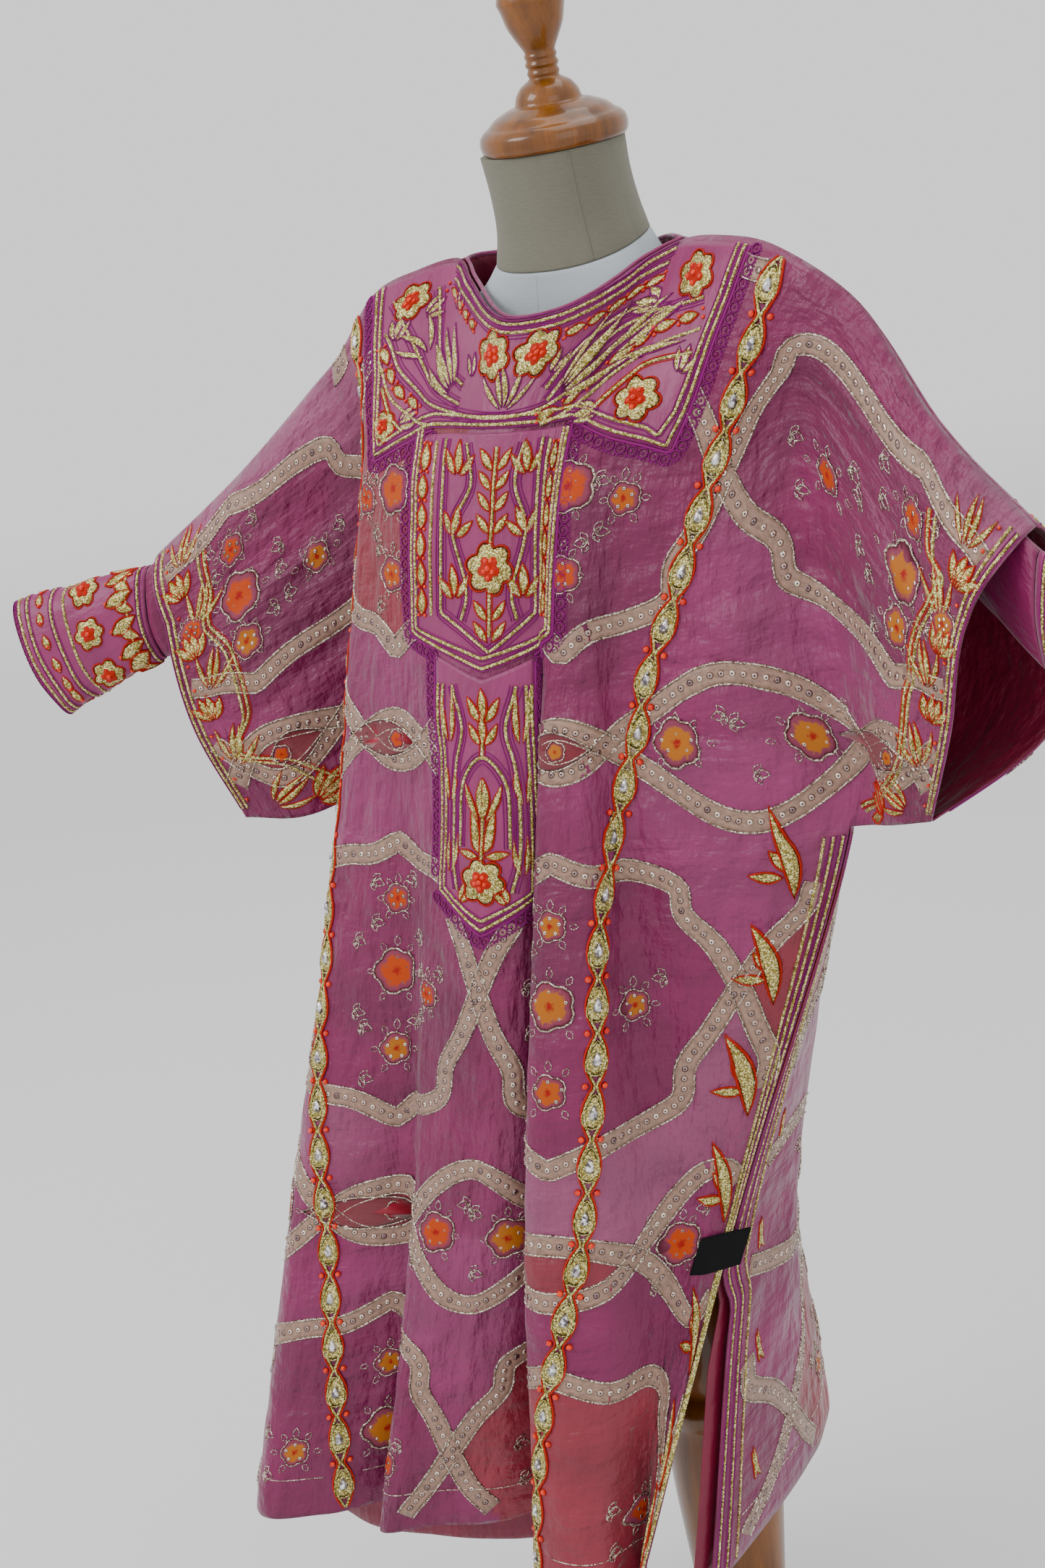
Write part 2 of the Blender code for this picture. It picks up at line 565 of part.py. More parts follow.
def build_dress(front, back):
    """The two walls of the printed cloth."""
    for name, panel, sheet in (("dress_front", front, FRONT), ("dress_back", back, BACK)):
        keep = cells(panel.flats, panel.levels, sheet)
        solid_sheet(name, panel.grid, panel.normal, CLOTH, keep, PRINT, 0.55)


def build_slip(back):
    """Magenta slip inside: its front hangs behind the folds, its back follows the back of the garment."""
    knots = [line.flat for line in SLIP_FRONT]
    flats = spread(knots, (2,) * (len(knots) - 1))
    levels = np.linspace(0, 2, SLIP_ROWS)
    rows = []
    for t in levels:
        points = [smooth_line((0, 1, 2), line[2:], [t])[0] for line in SLIP_FRONT]
        rows.append(smooth_line(knots, points, flats))
    grid = np.array(rows)
    keep = np.ones((len(levels) - 1, len(flats) - 1), bool)
    solid_sheet("slip_front", grid, normals_of(grid, -1), LINING, keep, MAGENTA, 0.5)
    flats = np.array([f for f in back.flats if BACK.side_right + SLIP_FROM_SEAM < f <= BACK.side_left])
    levels = np.array([t for t in back.levels if t > UNDERARM_LEVEL + 0.1])
    s, t = np.meshgrid(flats, levels)
    place, normal = back.at(s, t)
    behind = np.where(t == levels[0], SLIP_SEWN, SLIP_BEHIND)
    grid = place - normal * behind[..., None]
    edge = grid[:, -1] - grid[:, -2]
    edge /= np.linalg.norm(edge, axis=1, keepdims=True)
    open_share = np.clip((levels - SLIT_LEVEL) / SLIP_OPENS_OVER, 0, 1)[:, None]
    reach = SLIP_PAST_EDGE * open_share - SLIP_SHORT_OF_EDGE * (1 - open_share)
    past = grid[:, -1] + edge * reach
    grid = np.concatenate([grid[:, :-1], (grid[:, -2:-1] + past[:, None]) / 2, past[:, None]], axis=1)
    grid[-1, :, 2] = SLIP_BACK_HEM
    keep = np.ones((grid.shape[0] - 1, grid.shape[1] - 1), bool)
    solid_sheet("slip_back", grid, normals_of(grid, 1), LINING, keep, MAGENTA, 0.5)


LEAST_GAP = 0.0006
OUT = CLOTH / 2 + APPLIQUE / 2 + LEAST_GAP


def settled(panel, flat, level, lift, half):
    """Lift of each point of a laid piece, raised where its facets would come too near the wall's."""
    lift = np.full(flat.shape, float(lift))
    place, normal = panel.at(flat, level)
    corners = (np.s_[:-1, :-1], np.s_[:-1, 1:], np.s_[1:, 1:], np.s_[1:, :-1])
    for turn in range(4):
        low = place + normal * (lift - half)[..., None]
        short = np.zeros((flat.shape[0] - 1, flat.shape[1] - 1))
        for u in np.linspace(0, 1, 6):
            for v in np.linspace(0, 1, 6):
                weights = (1 - u, u - v, v, 0) if u >= v else (1 - v, 0, u, v - u)
                f = sum(w * flat[c] for w, c in zip(weights, corners))
                t = sum(w * level[c] for w, c in zip(weights, corners))
                piece = sum(w * low[c] for w, c in zip(weights, corners))
                wall, out = panel.at(f, t)
                gap = ((piece - wall - out * CLOTH / 2) * out).sum(-1) / np.linalg.norm(out, axis=-1)
                short = np.maximum(short, LEAST_GAP - gap)
        raised = np.zeros(flat.shape)
        for c in corners:
            raised[c] = np.maximum(raised[c], short)
        lift = lift + raised
    return lift


def lay(
    name, panel, flat, level, colour, roughness=0.5, metallic=0.0, lift=OUT, thickness=APPLIQUE, ridge=None
):
    """Closed wall laid on a panel at a grid of flats and levels; ridge raises its outer side alone."""
    flat, level = np.asarray(flat, float), np.asarray(level, float)
    place, normal = panel.at(flat, level)
    lift = settled(panel, flat, level, lift, thickness / 2)
    ridge = np.zeros(flat.shape) if ridge is None else ridge
    keep = np.ones((flat.shape[0] - 1, flat.shape[1] - 1), bool)
    middle = place + normal * (lift + ridge / 2)[..., None]
    return solid_sheet(name, middle, normal, thickness + ridge, keep, colour, roughness, metallic)


def band(panel, path, offsets):
    """Grid of flats and levels along a path, moved sideways by the offsets in metres, mitred at corners."""
    path = np.array(path, float)
    offsets = np.asarray(offsets, float)
    if offsets.ndim == 1:
        offsets = np.tile(offsets, (len(path), 1))
    place, normal = panel.at(path[:, 0], path[:, 1])
    step = np.diff(place, axis=0)
    step /= np.linalg.norm(step, axis=1, keepdims=True)
    before = np.concatenate([step[:1], step])
    after = np.concatenate([step, step[-1:]])
    along = before + after
    along /= np.linalg.norm(along, axis=1, keepdims=True)
    reach = 1 / np.maximum((along * after).sum(1, keepdims=True), 0.6)
    side = np.cross(normal, along)
    side *= reach / np.linalg.norm(side, axis=1, keepdims=True)
    flats, levels = [], []
    for k in range(offsets.shape[1]):
        f, t = panel.moved(path[:, 0], path[:, 1], side * offsets[:, k : k + 1])
        flats.append(f)
        levels.append(t)
    return np.stack(flats, axis=1), np.stack(levels, axis=1)


def smooth_path(panel, path, step):
    """Smooth path with points an even distance apart on the cloth, and their distances."""
    path = np.array(path, float)
    fine = smooth_line(np.arange(len(path)), path, np.linspace(0, len(path) - 1, 600))
    place = panel.at(fine[:, 0], fine[:, 1])[0]
    run = np.concatenate([[0], np.cumsum(np.linalg.norm(np.diff(place, axis=0), axis=1))])
    marks = np.linspace(0, run[-1], max(2, int(round(run[-1] / step)) + 1))
    return np.stack([np.interp(marks, run, fine[:, 0]), np.interp(marks, run, fine[:, 1])], axis=1), marks


def cornered_path(panel, path, step):
    """Path of straight stretches with points along each of them, its corners kept."""
    path = np.array(path, float)
    place = panel.at(path[:, 0], path[:, 1])[0]
    counts = np.maximum(1, np.round(np.linalg.norm(np.diff(place, axis=0), axis=1) / step).astype(int))
    return np.stack([spread(path[:, 0], counts), spread(path[:, 1], counts)], axis=1)


def build_yoke(front):
    """Embroidered yoke: columns run from the neck and shoulders to the curved lower edge."""
    right = np.array(YOKE_RIGHT_EDGE)
    left = np.array(YOKE_LEFT_EDGE)
    bottom = np.array(YOKE_BOTTOM)
    inner = [f for f in front.flats if bottom[0, 0] + 0.008 < f < bottom[-1, 0] - 0.008]
    flat_rows, level_rows = [], []
    for level in (0.03, 0.2, 0.4, 0.6, 0.8, 1.0):
        r = np.interp(level, right[:, 1], right[:, 0])
        m = np.interp(level, left[:, 1], left[:, 0])
        f = np.array([r, (r + inner[0]) / 2] + inner + [(m + inner[-1]) / 2, m])
        flat_rows.append(f)
        low = np.interp(f, bottom[:, 0], bottom[:, 1])
        if level == 0.8:
            low = np.where(low > 0.82, 0.8, (low + 0.6) / 2)
        level_rows.append(low if level > 0.7 else np.full(len(f), level))
    return lay("yoke", front, np.array(flat_rows), np.array(level_rows), GROUND, 0.5)


def build_placket(front):
    """Two pointed plackets under the yoke, each starting just below what is above it."""
    yoke_low = np.array(YOKE_BOTTOM)
    upper_low = np.array(((UPPER_RIGHT, UPPER_SHOULDER), UPPER_TIP, (UPPER_LEFT, UPPER_SHOULDER)))
    for name, right, left, above, shoulder, tip, rows in (
        ("placket_upper", UPPER_RIGHT, UPPER_LEFT, yoke_low, UPPER_SHOULDER, UPPER_TIP, 6),
        ("placket_lower", LOWER_RIGHT, LOWER_LEFT, upper_low, LOWER_SHOULDER, LOWER_TIP, 9),
    ):
        inner = [f for f in front.flats if right + 0.004 < f < left - 0.004]
        flats = np.array([right] + inner + [left])
        low = shoulder + (tip[1] - shoulder) * np.interp(flats, (right, tip[0], left), (0, 1, 0))
        upper = np.interp(flats, above[:, 0], above[:, 1]) + PLACKET_GAP
        share = np.linspace(0, 1, rows + 1)[:, None]
        lay(name, front, np.tile(flats, (rows + 1, 1)), upper * (1 - share) + low * share, GROUND, 0.5)


def build_lace(front):
    """Narrow looped lace along the outer edges of the yoke and the plackets."""
    bottom = np.array(YOKE_BOTTOM)
    right_end = (UPPER_RIGHT - LACE_END, np.interp(UPPER_RIGHT - LACE_END, bottom[:, 0], bottom[:, 1]))
    left_end = (UPPER_LEFT + 2 * LACE_END, np.interp(UPPER_LEFT + 2 * LACE_END, bottom[:, 0], bottom[:, 1]))
    low = LOWER_SHOULDER + LACE_DOWN
    tip_rise = (LOWER_TIP[1] - LOWER_SHOULDER) / (LOWER_LEFT - LOWER_TIP[0])
    tip_end = (LOWER_LEFT - LACE_END, low + tip_rise * LACE_END)
    paths = (
        ("lace_yoke_right", YOKE_RIGHT_EDGE + (YOKE_BOTTOM[1], right_end), -1),
        ("lace_yoke_left", YOKE_LEFT_EDGE + (YOKE_BOTTOM[9], YOKE_BOTTOM[8], left_end), 1),
        ("lace_upper_right", ((UPPER_RIGHT, 0.95), (UPPER_RIGHT, UPPER_SHOULDER)), -1),
        ("lace_upper_left", ((UPPER_LEFT, 0.90), (UPPER_LEFT, UPPER_SHOULDER)), 1),
        ("lace_lower_right", ((LOWER_RIGHT, 1.93), (LOWER_RIGHT, LOWER_SHOULDER - LACE_DOWN)), -1),
        ("lace_lower_tip", ((LOWER_RIGHT, low), (LOWER_TIP[0], LOWER_TIP[1] + LACE_DOWN), tip_end), -1),
    )
    for name, path, sign in paths:
        points = cornered_path(front, path, LACE_STEP)
        flats, levels = band(front, points, (LACE_PARTED * sign, (LACE_PARTED + LACE_WIDTH) * sign))
        lay(name, front, flats, levels, PURPLE, 0.6, thickness=LACE_THICK, lift=OUT + LACE_RAISE)


def build_chains(front):
    """Bands of drop-shaped links that run down from the shoulders."""
    for name, path in (("chain_left", LEFT_CHAIN), ("chain_right", RIGHT_CHAIN)):
        even, run = smooth_path(front, path, CHAIN_UNIT / 3)
        beat = np.abs(np.sin(pi * run / CHAIN_UNIT))
        half = CHAIN_NARROW + (CHAIN_WIDE - CHAIN_NARROW) * beat
        flats, levels = band(front, even, np.stack([-half, half * 0, half], axis=1))
        ridge = np.stack([half * 0, half * 0 + 0.0006 + 0.0008 * beat, half * 0], axis=1)
        lay(name, front, flats, levels, GOLD, 0.45, 0.6, ridge=ridge)


def trial_length(panel, flat, level, toward):
    """Length on the cloth of a trial step in flat distance, for turning metres into flat distance."""
    here = panel.at(flat + 0 * level, level)[0]
    there = panel.at(flat + TRIAL_STEP * toward + 0 * level, level)[0]
    return np.linalg.norm(there - here, axis=-1)


def build_edges(front, back):
    """Gold strips along the side edges and around the mouths of the wide sleeves."""
    for side, panel in (("front", front), ("back", back)):
        for half, top, low, count in EDGE_HALVES:
            level = np.tile(np.linspace(top, low, count)[:, None], (1, 2))
            width = trial_length(panel, EDGE_FLAT, level, -1)
            flat = EDGE_FLAT - np.array([0.0, 1.0]) * TRIAL_STEP * EDGE_STRIP / width
            lay("edge_" + side + "_" + half, panel, flat, level, GOLD, 0.45, 0.6)
    mouths = (
        ("mouth_front_right", front, FRONT.flats[0], 1),
        ("mouth_back_right", back, FRONT.flats[0], 1),
        ("mouth_front_left", front, FRONT.flats[-1], -1),
        ("mouth_back_left", back, FRONT.flats[-1], -1),
    )
    for name, panel, flat, sign in mouths:
        marks = np.array([t for t in panel.levels if t <= UNDERARM_LEVEL + 1e-9])
        marks[0], marks[-1] = MOUTH_ENDS[0], UNDERARM_LEVEL - MOUTH_ENDS[1]
        level = np.tile(marks[:, None], (1, 2))
        width = trial_length(panel, flat, marks, sign)
        inset = TRIAL_STEP * MOUTH_STRIP / width
        edge = TRIAL_STEP * MOUTH_INSET / width
        flats = np.stack([flat + sign * edge, flat + sign * inset], axis=1)
        lay(name, panel, flats, level, GOLD, 0.45, 0.6)


def build_neck_binding(front, back):
    """Thin rolled binding that lies just inside the neck opening."""
    there = front.at(np.linspace(NECK_RIGHT, NECK_LEFT, 19), np.zeros(19))[0]
    behind = back.at(np.linspace(NECK_LEFT, NECK_RIGHT, 15), np.zeros(15))[0]
    loop = np.concatenate([there, behind[1:-1]])
    away = loop * (1, 1, 0)
    away /= np.linalg.norm(away, axis=1, keepdims=True)
    loop = loop - away * BINDING_INSIDE + (0, 0, BINDING_RAISE)
    along = np.roll(loop, -1, axis=0) - np.roll(loop, 1, axis=0)
    along /= np.linalg.norm(along, axis=1, keepdims=True)
    up = np.cross(along, away)
    up /= np.linalg.norm(up, axis=1, keepdims=True)
    sides = BINDING_SIDES
    verts, faces = [], []
    for k in range(sides):
        angle = 2 * pi * k / sides
        verts.append(loop + BINDING_RADIUS * (away * cos(angle) + up * sin(angle)))
    verts = np.stack(verts, axis=1)
    n = len(loop)
    for j in range(n):
        for k in range(sides):
            a, b = j * sides + k, j * sides + (k + 1) % sides
            c, d = (j + 1) % n * sides + (k + 1) % sides, (j + 1) % n * sides + k
            faces.append((a, b, c, d))
    add_solid("neck_binding", verts.reshape(-1, 3), faces, PURPLE, 0.5)


def tube_wall(name, sections, mirror, raise_by, sides, colour, roughness, thickness):
    """Flattened open tube through upright sections."""
    middles = np.array([(-a.x if mirror else a.x, a.y, raise_by - a.drop) for a in sections])
    angles = 2 * pi * np.arange(sides) / sides
    tall = np.array([a.half_height for a in sections])[:, None]
    deep = np.array([a.half_depth for a in sections])[:, None]
    slant = np.array([a.slant for a in sections])[:, None]
    rings = []
    for shrink in (0.0, thickness):
        y = (deep - shrink) * np.sin(angles)
        z = (tall - shrink) * np.cos(angles)
        lead = slant * np.cos(angles) * (-1 if mirror else 1)
        rings.append(middles[:, None] + np.stack([lead, y, z], axis=2))
    n = len(sections)
    verts = np.concatenate([rings[0].reshape(-1, 3), rings[1].reshape(-1, 3)])
    count = n * sides
    faces = []
    for j in range(n - 1):
        for k in range(sides):
            a, b = j * sides + k, j * sides + (k + 1) % sides
            faces += both_walls(a, b, b + sides, a + sides, count)
    for j in (0, n - 1):
        for k in range(sides):
            a, b = j * sides + k, j * sides + (k + 1) % sides
            faces.append((a, b, b + count, a + count))
    add_solid(name, verts, faces, colour, roughness)


def build_sleeves():
    """Narrow inner sleeves and their embroidered cuffs."""
    for side, mirror, up in (("right", True, 0.0), ("left", False, LEFT_ARM_RAISE)):
        tube_wall("inner_sleeve_" + side, INNER_SLEEVE, mirror, up, 14, PRINT, 0.55, 0.0012)
        tube_wall("cuff_" + side, CUFF, mirror, up, 14, GROUND, 0.5, 0.0014)


def build_label(front):
    """Plain woven tab sewn on the front's edge at the top of the side slit; its end lies past the edge."""
    rows, normals = [], []
    for drop in np.linspace(LABEL_DROPS[0], LABEL_DROPS[1], 3):
        t = float(np.interp(drop, LEVEL_DROPS, np.arange(6)))
        fine = np.linspace(FRONT.side_left, FRONT.side_left - 0.1, 200)
        place, normal = front.at(fine, np.full(200, t))
        far = np.linalg.norm(place - place[0], axis=1)
        chosen = [int(np.argmin(np.abs(far - reach))) for reach in LABEL_REACHES]
        row = [place[k] + normal[k] * lift for k, lift in zip(chosen, LABEL_LIFTS)]
        past = row[-1] - row[-2]
        row.append(row[-1] + past / np.linalg.norm(past) * LABEL_PAST)
        rows.append(row)
        normals.append([normal[k] for k in chosen + chosen[-1:]])
    grid = np.array(rows)
    keep = np.ones((grid.shape[0] - 1, grid.shape[1] - 1), bool)
    solid_sheet("label", grid, np.array(normals), LABEL_THICK, keep, BLACK, 0.7)


def body_rings(sections, sides, power=2.3):
    """Rings of the dress form: rounded oblongs, lowered at the front by the tilt."""
    angles = np.linspace(0, 2 * pi, sides, endpoint=False)
    c, s = np.cos(angles), np.sin(angles)
    grow = (np.abs(c) ** power + np.abs(s) ** power) ** (-1 / power)
    rings = []
    for row in sections:
        x = row.half_width * c * grow
        y = np.where(s < 0, row.front, row.back) * s * grow
        rings.append(np.stack([x, y + row.middle_y, y * row.tilt - row.drop], axis=1))
    return np.array(rings)


def build_form():
    """Dress form: neck cover, and the torso in one piece down to the hips."""
    sides = FORM_SIDES
    for name, sections, colour in (("form_neck", NECK_FORM, LINEN), ("form_torso", TORSO_FORM, JERSEY)):
        rings = body_rings(sections, sides)
        n = len(sections)
        verts = list(rings.reshape(-1, 3))
        faces = [tuple(range(sides)), tuple(range((n - 1) * sides, n * sides))]
        for j in range(n - 1):
            for k in range(sides):
                a, b = j * sides + k, j * sides + (k + 1) % sides
                faces.append((a, b, b + sides, a + sides))
        add_solid(name, verts, faces, colour, 0.85)


def turned(name, profile, sides, colour=WOOD, roughness=0.25):
    """Wood turned on a lathe: the profile is screwed about the upright axis from its top to its bottom."""
    mesh = bpy.data.meshes.new(name)
    points = [(radius, 0, height) for height, radius in reversed(profile)]
    if points[0][0] > 0:
        points.insert(0, (0, 0, points[0][2]))
    points.append((0, 0, points[-1][2]))
    mesh.from_pydata(points, [(k, k + 1) for k in range(len(points) - 1)], [])
    thing = bpy.data.objects.new(name, mesh)
    COLLECTION.objects.link(thing)
    screw = thing.modifiers.new("turn", "SCREW")
    screw.axis = "Z"
    screw.steps = sides
    screw.render_steps = sides
    screw.use_merge_vertices = True
    screw.merge_threshold = 0.0001
    screw.use_smooth_shade = True
    mesh.materials.append(material_for(name, colour, roughness, 0.0))
    return thing


def build_wood():
    """Turned cap with its finial, the column under the form and the round base."""
    cap = turned("neck_cap", CAP_PROFILE, 20)
    foot = Matrix.Translation((*CAP_MIDDLE, SHOULDER_HEIGHT - CAP_DROP))
    bake_turn(cap, foot @ Matrix.Rotation(CAP_LEAN, 4, "X"))
    bake_turn(turned("column", COLUMN_PROFILE, 18), Matrix.Identity(4))
    bake_turn(turned("base", BASE_PROFILE, 32), Matrix.Identity(4))


def bake_turn(thing, place):
    """Apply the turning and the place, so that the object itself stays at the origin."""
    graph = bpy.context.evaluated_depsgraph_get()
    baked = bpy.data.meshes.new_from_object(thing.evaluated_get(graph))
    thing.modifiers.clear()
    baked.transform(place)
    thing.data = baked
    work = bmesh.new()
    work.from_mesh(baked)
    bmesh.ops.recalc_face_normals(work, faces=work.faces)
    work.to_mesh(baked)
    work.free()


def build_all():
    """Every piece, from the cloth in to the wood."""
    front, back = front_panel(), back_panel()
    build_dress(front, back)
    build_slip(back)
    build_yoke(front)
    build_placket(front)
    build_lace(front)
    build_chains(front)
    build_edges(front, back)
    build_neck_binding(front, back)
    build_sleeves()
    build_label(front)
    build_form()
    build_wood()


for old in list(bpy.data.objects):
    bpy.data.objects.remove(old, do_unlink=True)

COLLECTION = bpy.data.collections.new("thobe_on_dress_form")
bpy.context.scene.collection.children.link(COLLECTION)

build_all()
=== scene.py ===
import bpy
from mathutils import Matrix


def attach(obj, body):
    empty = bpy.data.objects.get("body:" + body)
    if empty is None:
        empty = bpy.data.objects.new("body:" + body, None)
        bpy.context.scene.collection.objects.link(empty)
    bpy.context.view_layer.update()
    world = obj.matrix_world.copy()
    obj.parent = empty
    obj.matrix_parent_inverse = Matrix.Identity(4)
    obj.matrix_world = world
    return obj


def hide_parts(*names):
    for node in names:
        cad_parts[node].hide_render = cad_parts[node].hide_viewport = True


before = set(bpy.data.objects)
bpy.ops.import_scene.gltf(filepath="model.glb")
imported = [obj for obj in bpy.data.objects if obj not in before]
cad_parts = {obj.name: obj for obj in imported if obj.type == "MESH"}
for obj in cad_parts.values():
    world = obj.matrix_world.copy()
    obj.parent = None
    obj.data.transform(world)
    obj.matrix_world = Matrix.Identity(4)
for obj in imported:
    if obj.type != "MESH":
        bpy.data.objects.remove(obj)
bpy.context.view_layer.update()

# Thobe of printed silk on a limbless dress form: its cloth, print, embroidery, beads and wood.
# Metres, +Z up; the wearer's left is +X and the front faces -Y.

from collections import namedtuple
from functools import partial
from math import cos, pi, radians, sin

import bpy
import numpy as np
from mathutils import Matrix

bl_info = {
    "name": "Thobe on a dress form",
    "version": (1, 0, 0),
    "blender": (4, 5, 0),
    "location": "3D View > Sidebar > Thobe",
    "description": "Makes the cloth, embroidery, beads, dress form and studio of a printed silk thobe",
    "category": "Object",
}

# Main sizes

SHOULDER_HEIGHT = 1.19
SEAM_GAP = 0.0005
HEM_DROP = 0.9
LEVEL_DROPS = (0.0, 0.12, 0.27, 0.37, 0.65, HEM_DROP)

FoldLine = namedtuple("FoldLine", "name flat top chest ribs underarm hip hem")
SleeveLine = namedtuple("SleeveLine", "name flat top upper middle bottom")


def table(kind, *rows):
    """Rows of one kind of named tuple."""
    return tuple(kind(*row) for row in rows)


# Front of the garment, from the wearer's right to the left: a row for each line that runs down the cloth.
# flat is the distance from the middle when laid flat; a place is (x, y, z), or (x, y) at its level's drop.

FRONT_RIGHT_SLEEVE = table(
    SleeveLine,
    ("right mouth", -0.44, (-0.355, -0.084, -0.187), (-0.332, -0.12, -0.238), (-0.312, -0.13, -0.312),
     (-0.289, -0.114, -0.388)),
    ("right sleeve middle", -0.355, (-0.285, -0.054, -0.131), (-0.276, -0.086, -0.208),
     (-0.258, -0.1, -0.3), (-0.24, -0.092, -0.389)),
)

FRONT_BODY = table(
    FoldLine,
    ("right side seam", -0.285, (-0.22, -0.04, -0.077), (-0.204, -0.046, -0.165), (-0.194, -0.044),
     (-0.192, -0.05), (-0.24, -0.062), (-0.298, -0.09)),
    ("behind right crest", -0.24, (-0.19, -0.036, -0.052), (-0.16, -0.044, -0.135), (-0.166, -0.056),
     (-0.18, -0.072), (-0.25, -0.128), (-0.306, -0.172)),
    ("right crest", -0.205, (-0.162, -0.03, -0.018), (-0.146, -0.078), (-0.162, -0.112), (-0.176, -0.13),
     (-0.23, -0.19), (-0.264, -0.258)),
    ("right chain", -0.15, (-0.122, -0.018, 0.0), (-0.118, -0.096), (-0.124, -0.128), (-0.134, -0.146),
     (-0.178, -0.192), (-0.205, -0.244)),
    ("right valley", -0.105, (-0.092, -0.008, 0.004), (-0.088, -0.104), (-0.092, -0.135), (-0.098, -0.146),
     (-0.132, -0.168), (-0.162, -0.204)),
    ("middle right crest", -0.07, (-0.07, -0.028, -0.008), (-0.066, -0.109), (-0.07, -0.14),
     (-0.074, -0.152), (-0.118, -0.184), (-0.154, -0.24)),
    ("middle", 0.0, (0.0, -0.083, -0.03), (-0.01, -0.115), (-0.018, -0.147), (-0.024, -0.164),
     (-0.064, -0.186), (-0.112, -0.216)),
    ("middle left", 0.04, (0.034, -0.074, -0.027), (0.014, -0.112), (0.006, -0.141), (0.004, -0.156),
     (-0.034, -0.174), (-0.072, -0.192)),
    ("placket valley", 0.07, (0.05, -0.062, -0.021), (0.028, -0.106), (0.019, -0.131), (0.014, -0.142),
     (-0.014, -0.148), (-0.04, -0.152)),
    ("left fold edge", 0.105, (0.062, -0.045, -0.013), (0.04, -0.102), (0.026, -0.134), (0.018, -0.156),
     (-0.002, -0.206), (-0.008, -0.24)),
    ("left fold face", 0.145, (0.074, -0.02, -0.002), (0.062, -0.096), (0.053, -0.126), (0.052, -0.146),
     (0.054, -0.188), (0.048, -0.243)),
    ("left fold valley", 0.17, (0.092, -0.008, 0.005), (0.08, -0.087), (0.066, -0.112), (0.062, -0.122),
     (0.064, -0.156), (0.058, -0.206)),
    ("left chain", 0.205, (0.13, -0.02, 0.006), (0.115, -0.076), (0.105, -0.102), (0.104, -0.112),
     (0.082, -0.136), (0.064, -0.216)),
    ("left panel", 0.25, (0.176, -0.033, -0.003), (0.148, -0.06), (0.152, -0.092), (0.164, -0.094),
     (0.1, -0.122), (0.069, -0.228)),
    ("left side edge", 0.29, (0.224, -0.036, -0.034), (0.186, -0.044, -0.105), (0.196, -0.064),
     (0.206, -0.068), (0.11, -0.108), (0.074, -0.24)),
)

FRONT_LEFT_SLEEVE = table(
    SleeveLine,
    ("left sleeve middle", 0.355, (0.286, -0.06, -0.107), (0.276, -0.094, -0.18), (0.262, -0.108, -0.27),
     (0.247, -0.09, -0.358)),
    ("left mouth", 0.44, (0.355, -0.08, -0.168), (0.33, -0.126, -0.213), (0.316, -0.132, -0.28),
     (0.286, -0.108, -0.346)),
)

# Back of the garment, in the same order

BACK_RIGHT_SLEEVE = table(
    SleeveLine,
    ("right mouth back", -0.44, (-0.355, -0.084, -0.187), (-0.36, -0.056, -0.245), (-0.358, -0.05, -0.33),
     (-0.305, -0.098, -0.39)),
    ("right sleeve back", -0.355, (-0.285, -0.054, -0.131), (-0.292, -0.022, -0.205),
     (-0.282, -0.016, -0.3), (-0.244, -0.072, -0.388)),
)

BACK_BODY = table(
    FoldLine,
    ("right side seam back", -0.285, (-0.22, -0.04, -0.077), (-0.222, -0.004, -0.15), (-0.218, 0.002),
     (-0.194, -0.04), (-0.242, -0.05), (-0.3, -0.078)),
    ("right back edge", -0.22, (-0.176, -0.033, -0.035), (-0.178, 0.022, -0.125), (-0.186, 0.036),
     (-0.184, 0.01), (-0.226, 0.0), (-0.278, 0.0)),
    ("right back", -0.145, (-0.122, -0.018, 0.0), (-0.13, 0.06), (-0.142, 0.07), (-0.144, 0.064),
     (-0.168, 0.066), (-0.206, 0.078)),
    ("right back crest", -0.07, (-0.07, 0.022, 0.004), (-0.072, 0.088), (-0.074, 0.096), (-0.076, 0.098),
     (-0.088, 0.112), (-0.114, 0.124)),
    ("middle back", 0.0, (0.0, 0.052, -0.004), (0.0, 0.096), (0.0, 0.102), (0.0, 0.104), (-0.01, 0.112),
     (-0.03, 0.106)),
    ("left back crest", 0.09, (0.056, 0.034, 0.004), (0.072, 0.086), (0.074, 0.092), (0.074, 0.094),
     (0.036, 0.076), (0.042, 0.08)),
    ("left back", 0.17, (0.095, -0.006, 0.0055), (0.136, 0.058), (0.14, 0.062), (0.132, 0.058),
     (0.078, 0.024), (0.084, 0.02)),
    ("left back edge", 0.25, (0.176, -0.033, -0.003), (0.18, 0.022, -0.11), (0.19, 0.022), (0.18, -0.01),
     (0.108, -0.03), (0.106, -0.092)),
    ("left side edge back", 0.29, (0.224, -0.036, -0.034), (0.214, -0.004, -0.13), (0.216, -0.016),
     (0.208, -0.058), (0.11, -0.096), (0.112, -0.2)),
)

BACK_LEFT_SLEEVE = table(
    SleeveLine,
    ("left sleeve back", 0.355, (0.286, -0.06, -0.107), (0.29, -0.026, -0.185), (0.284, -0.022, -0.275),
     (0.25, -0.074, -0.36)),
    ("left mouth back", 0.44, (0.355, -0.08, -0.168), (0.362, -0.052, -0.22), (0.346, -0.046, -0.296),
     (0.294, -0.092, -0.348)),
)

# Front of the inner slip, hung behind the folds: flat as on the front, places as (x, y, z)

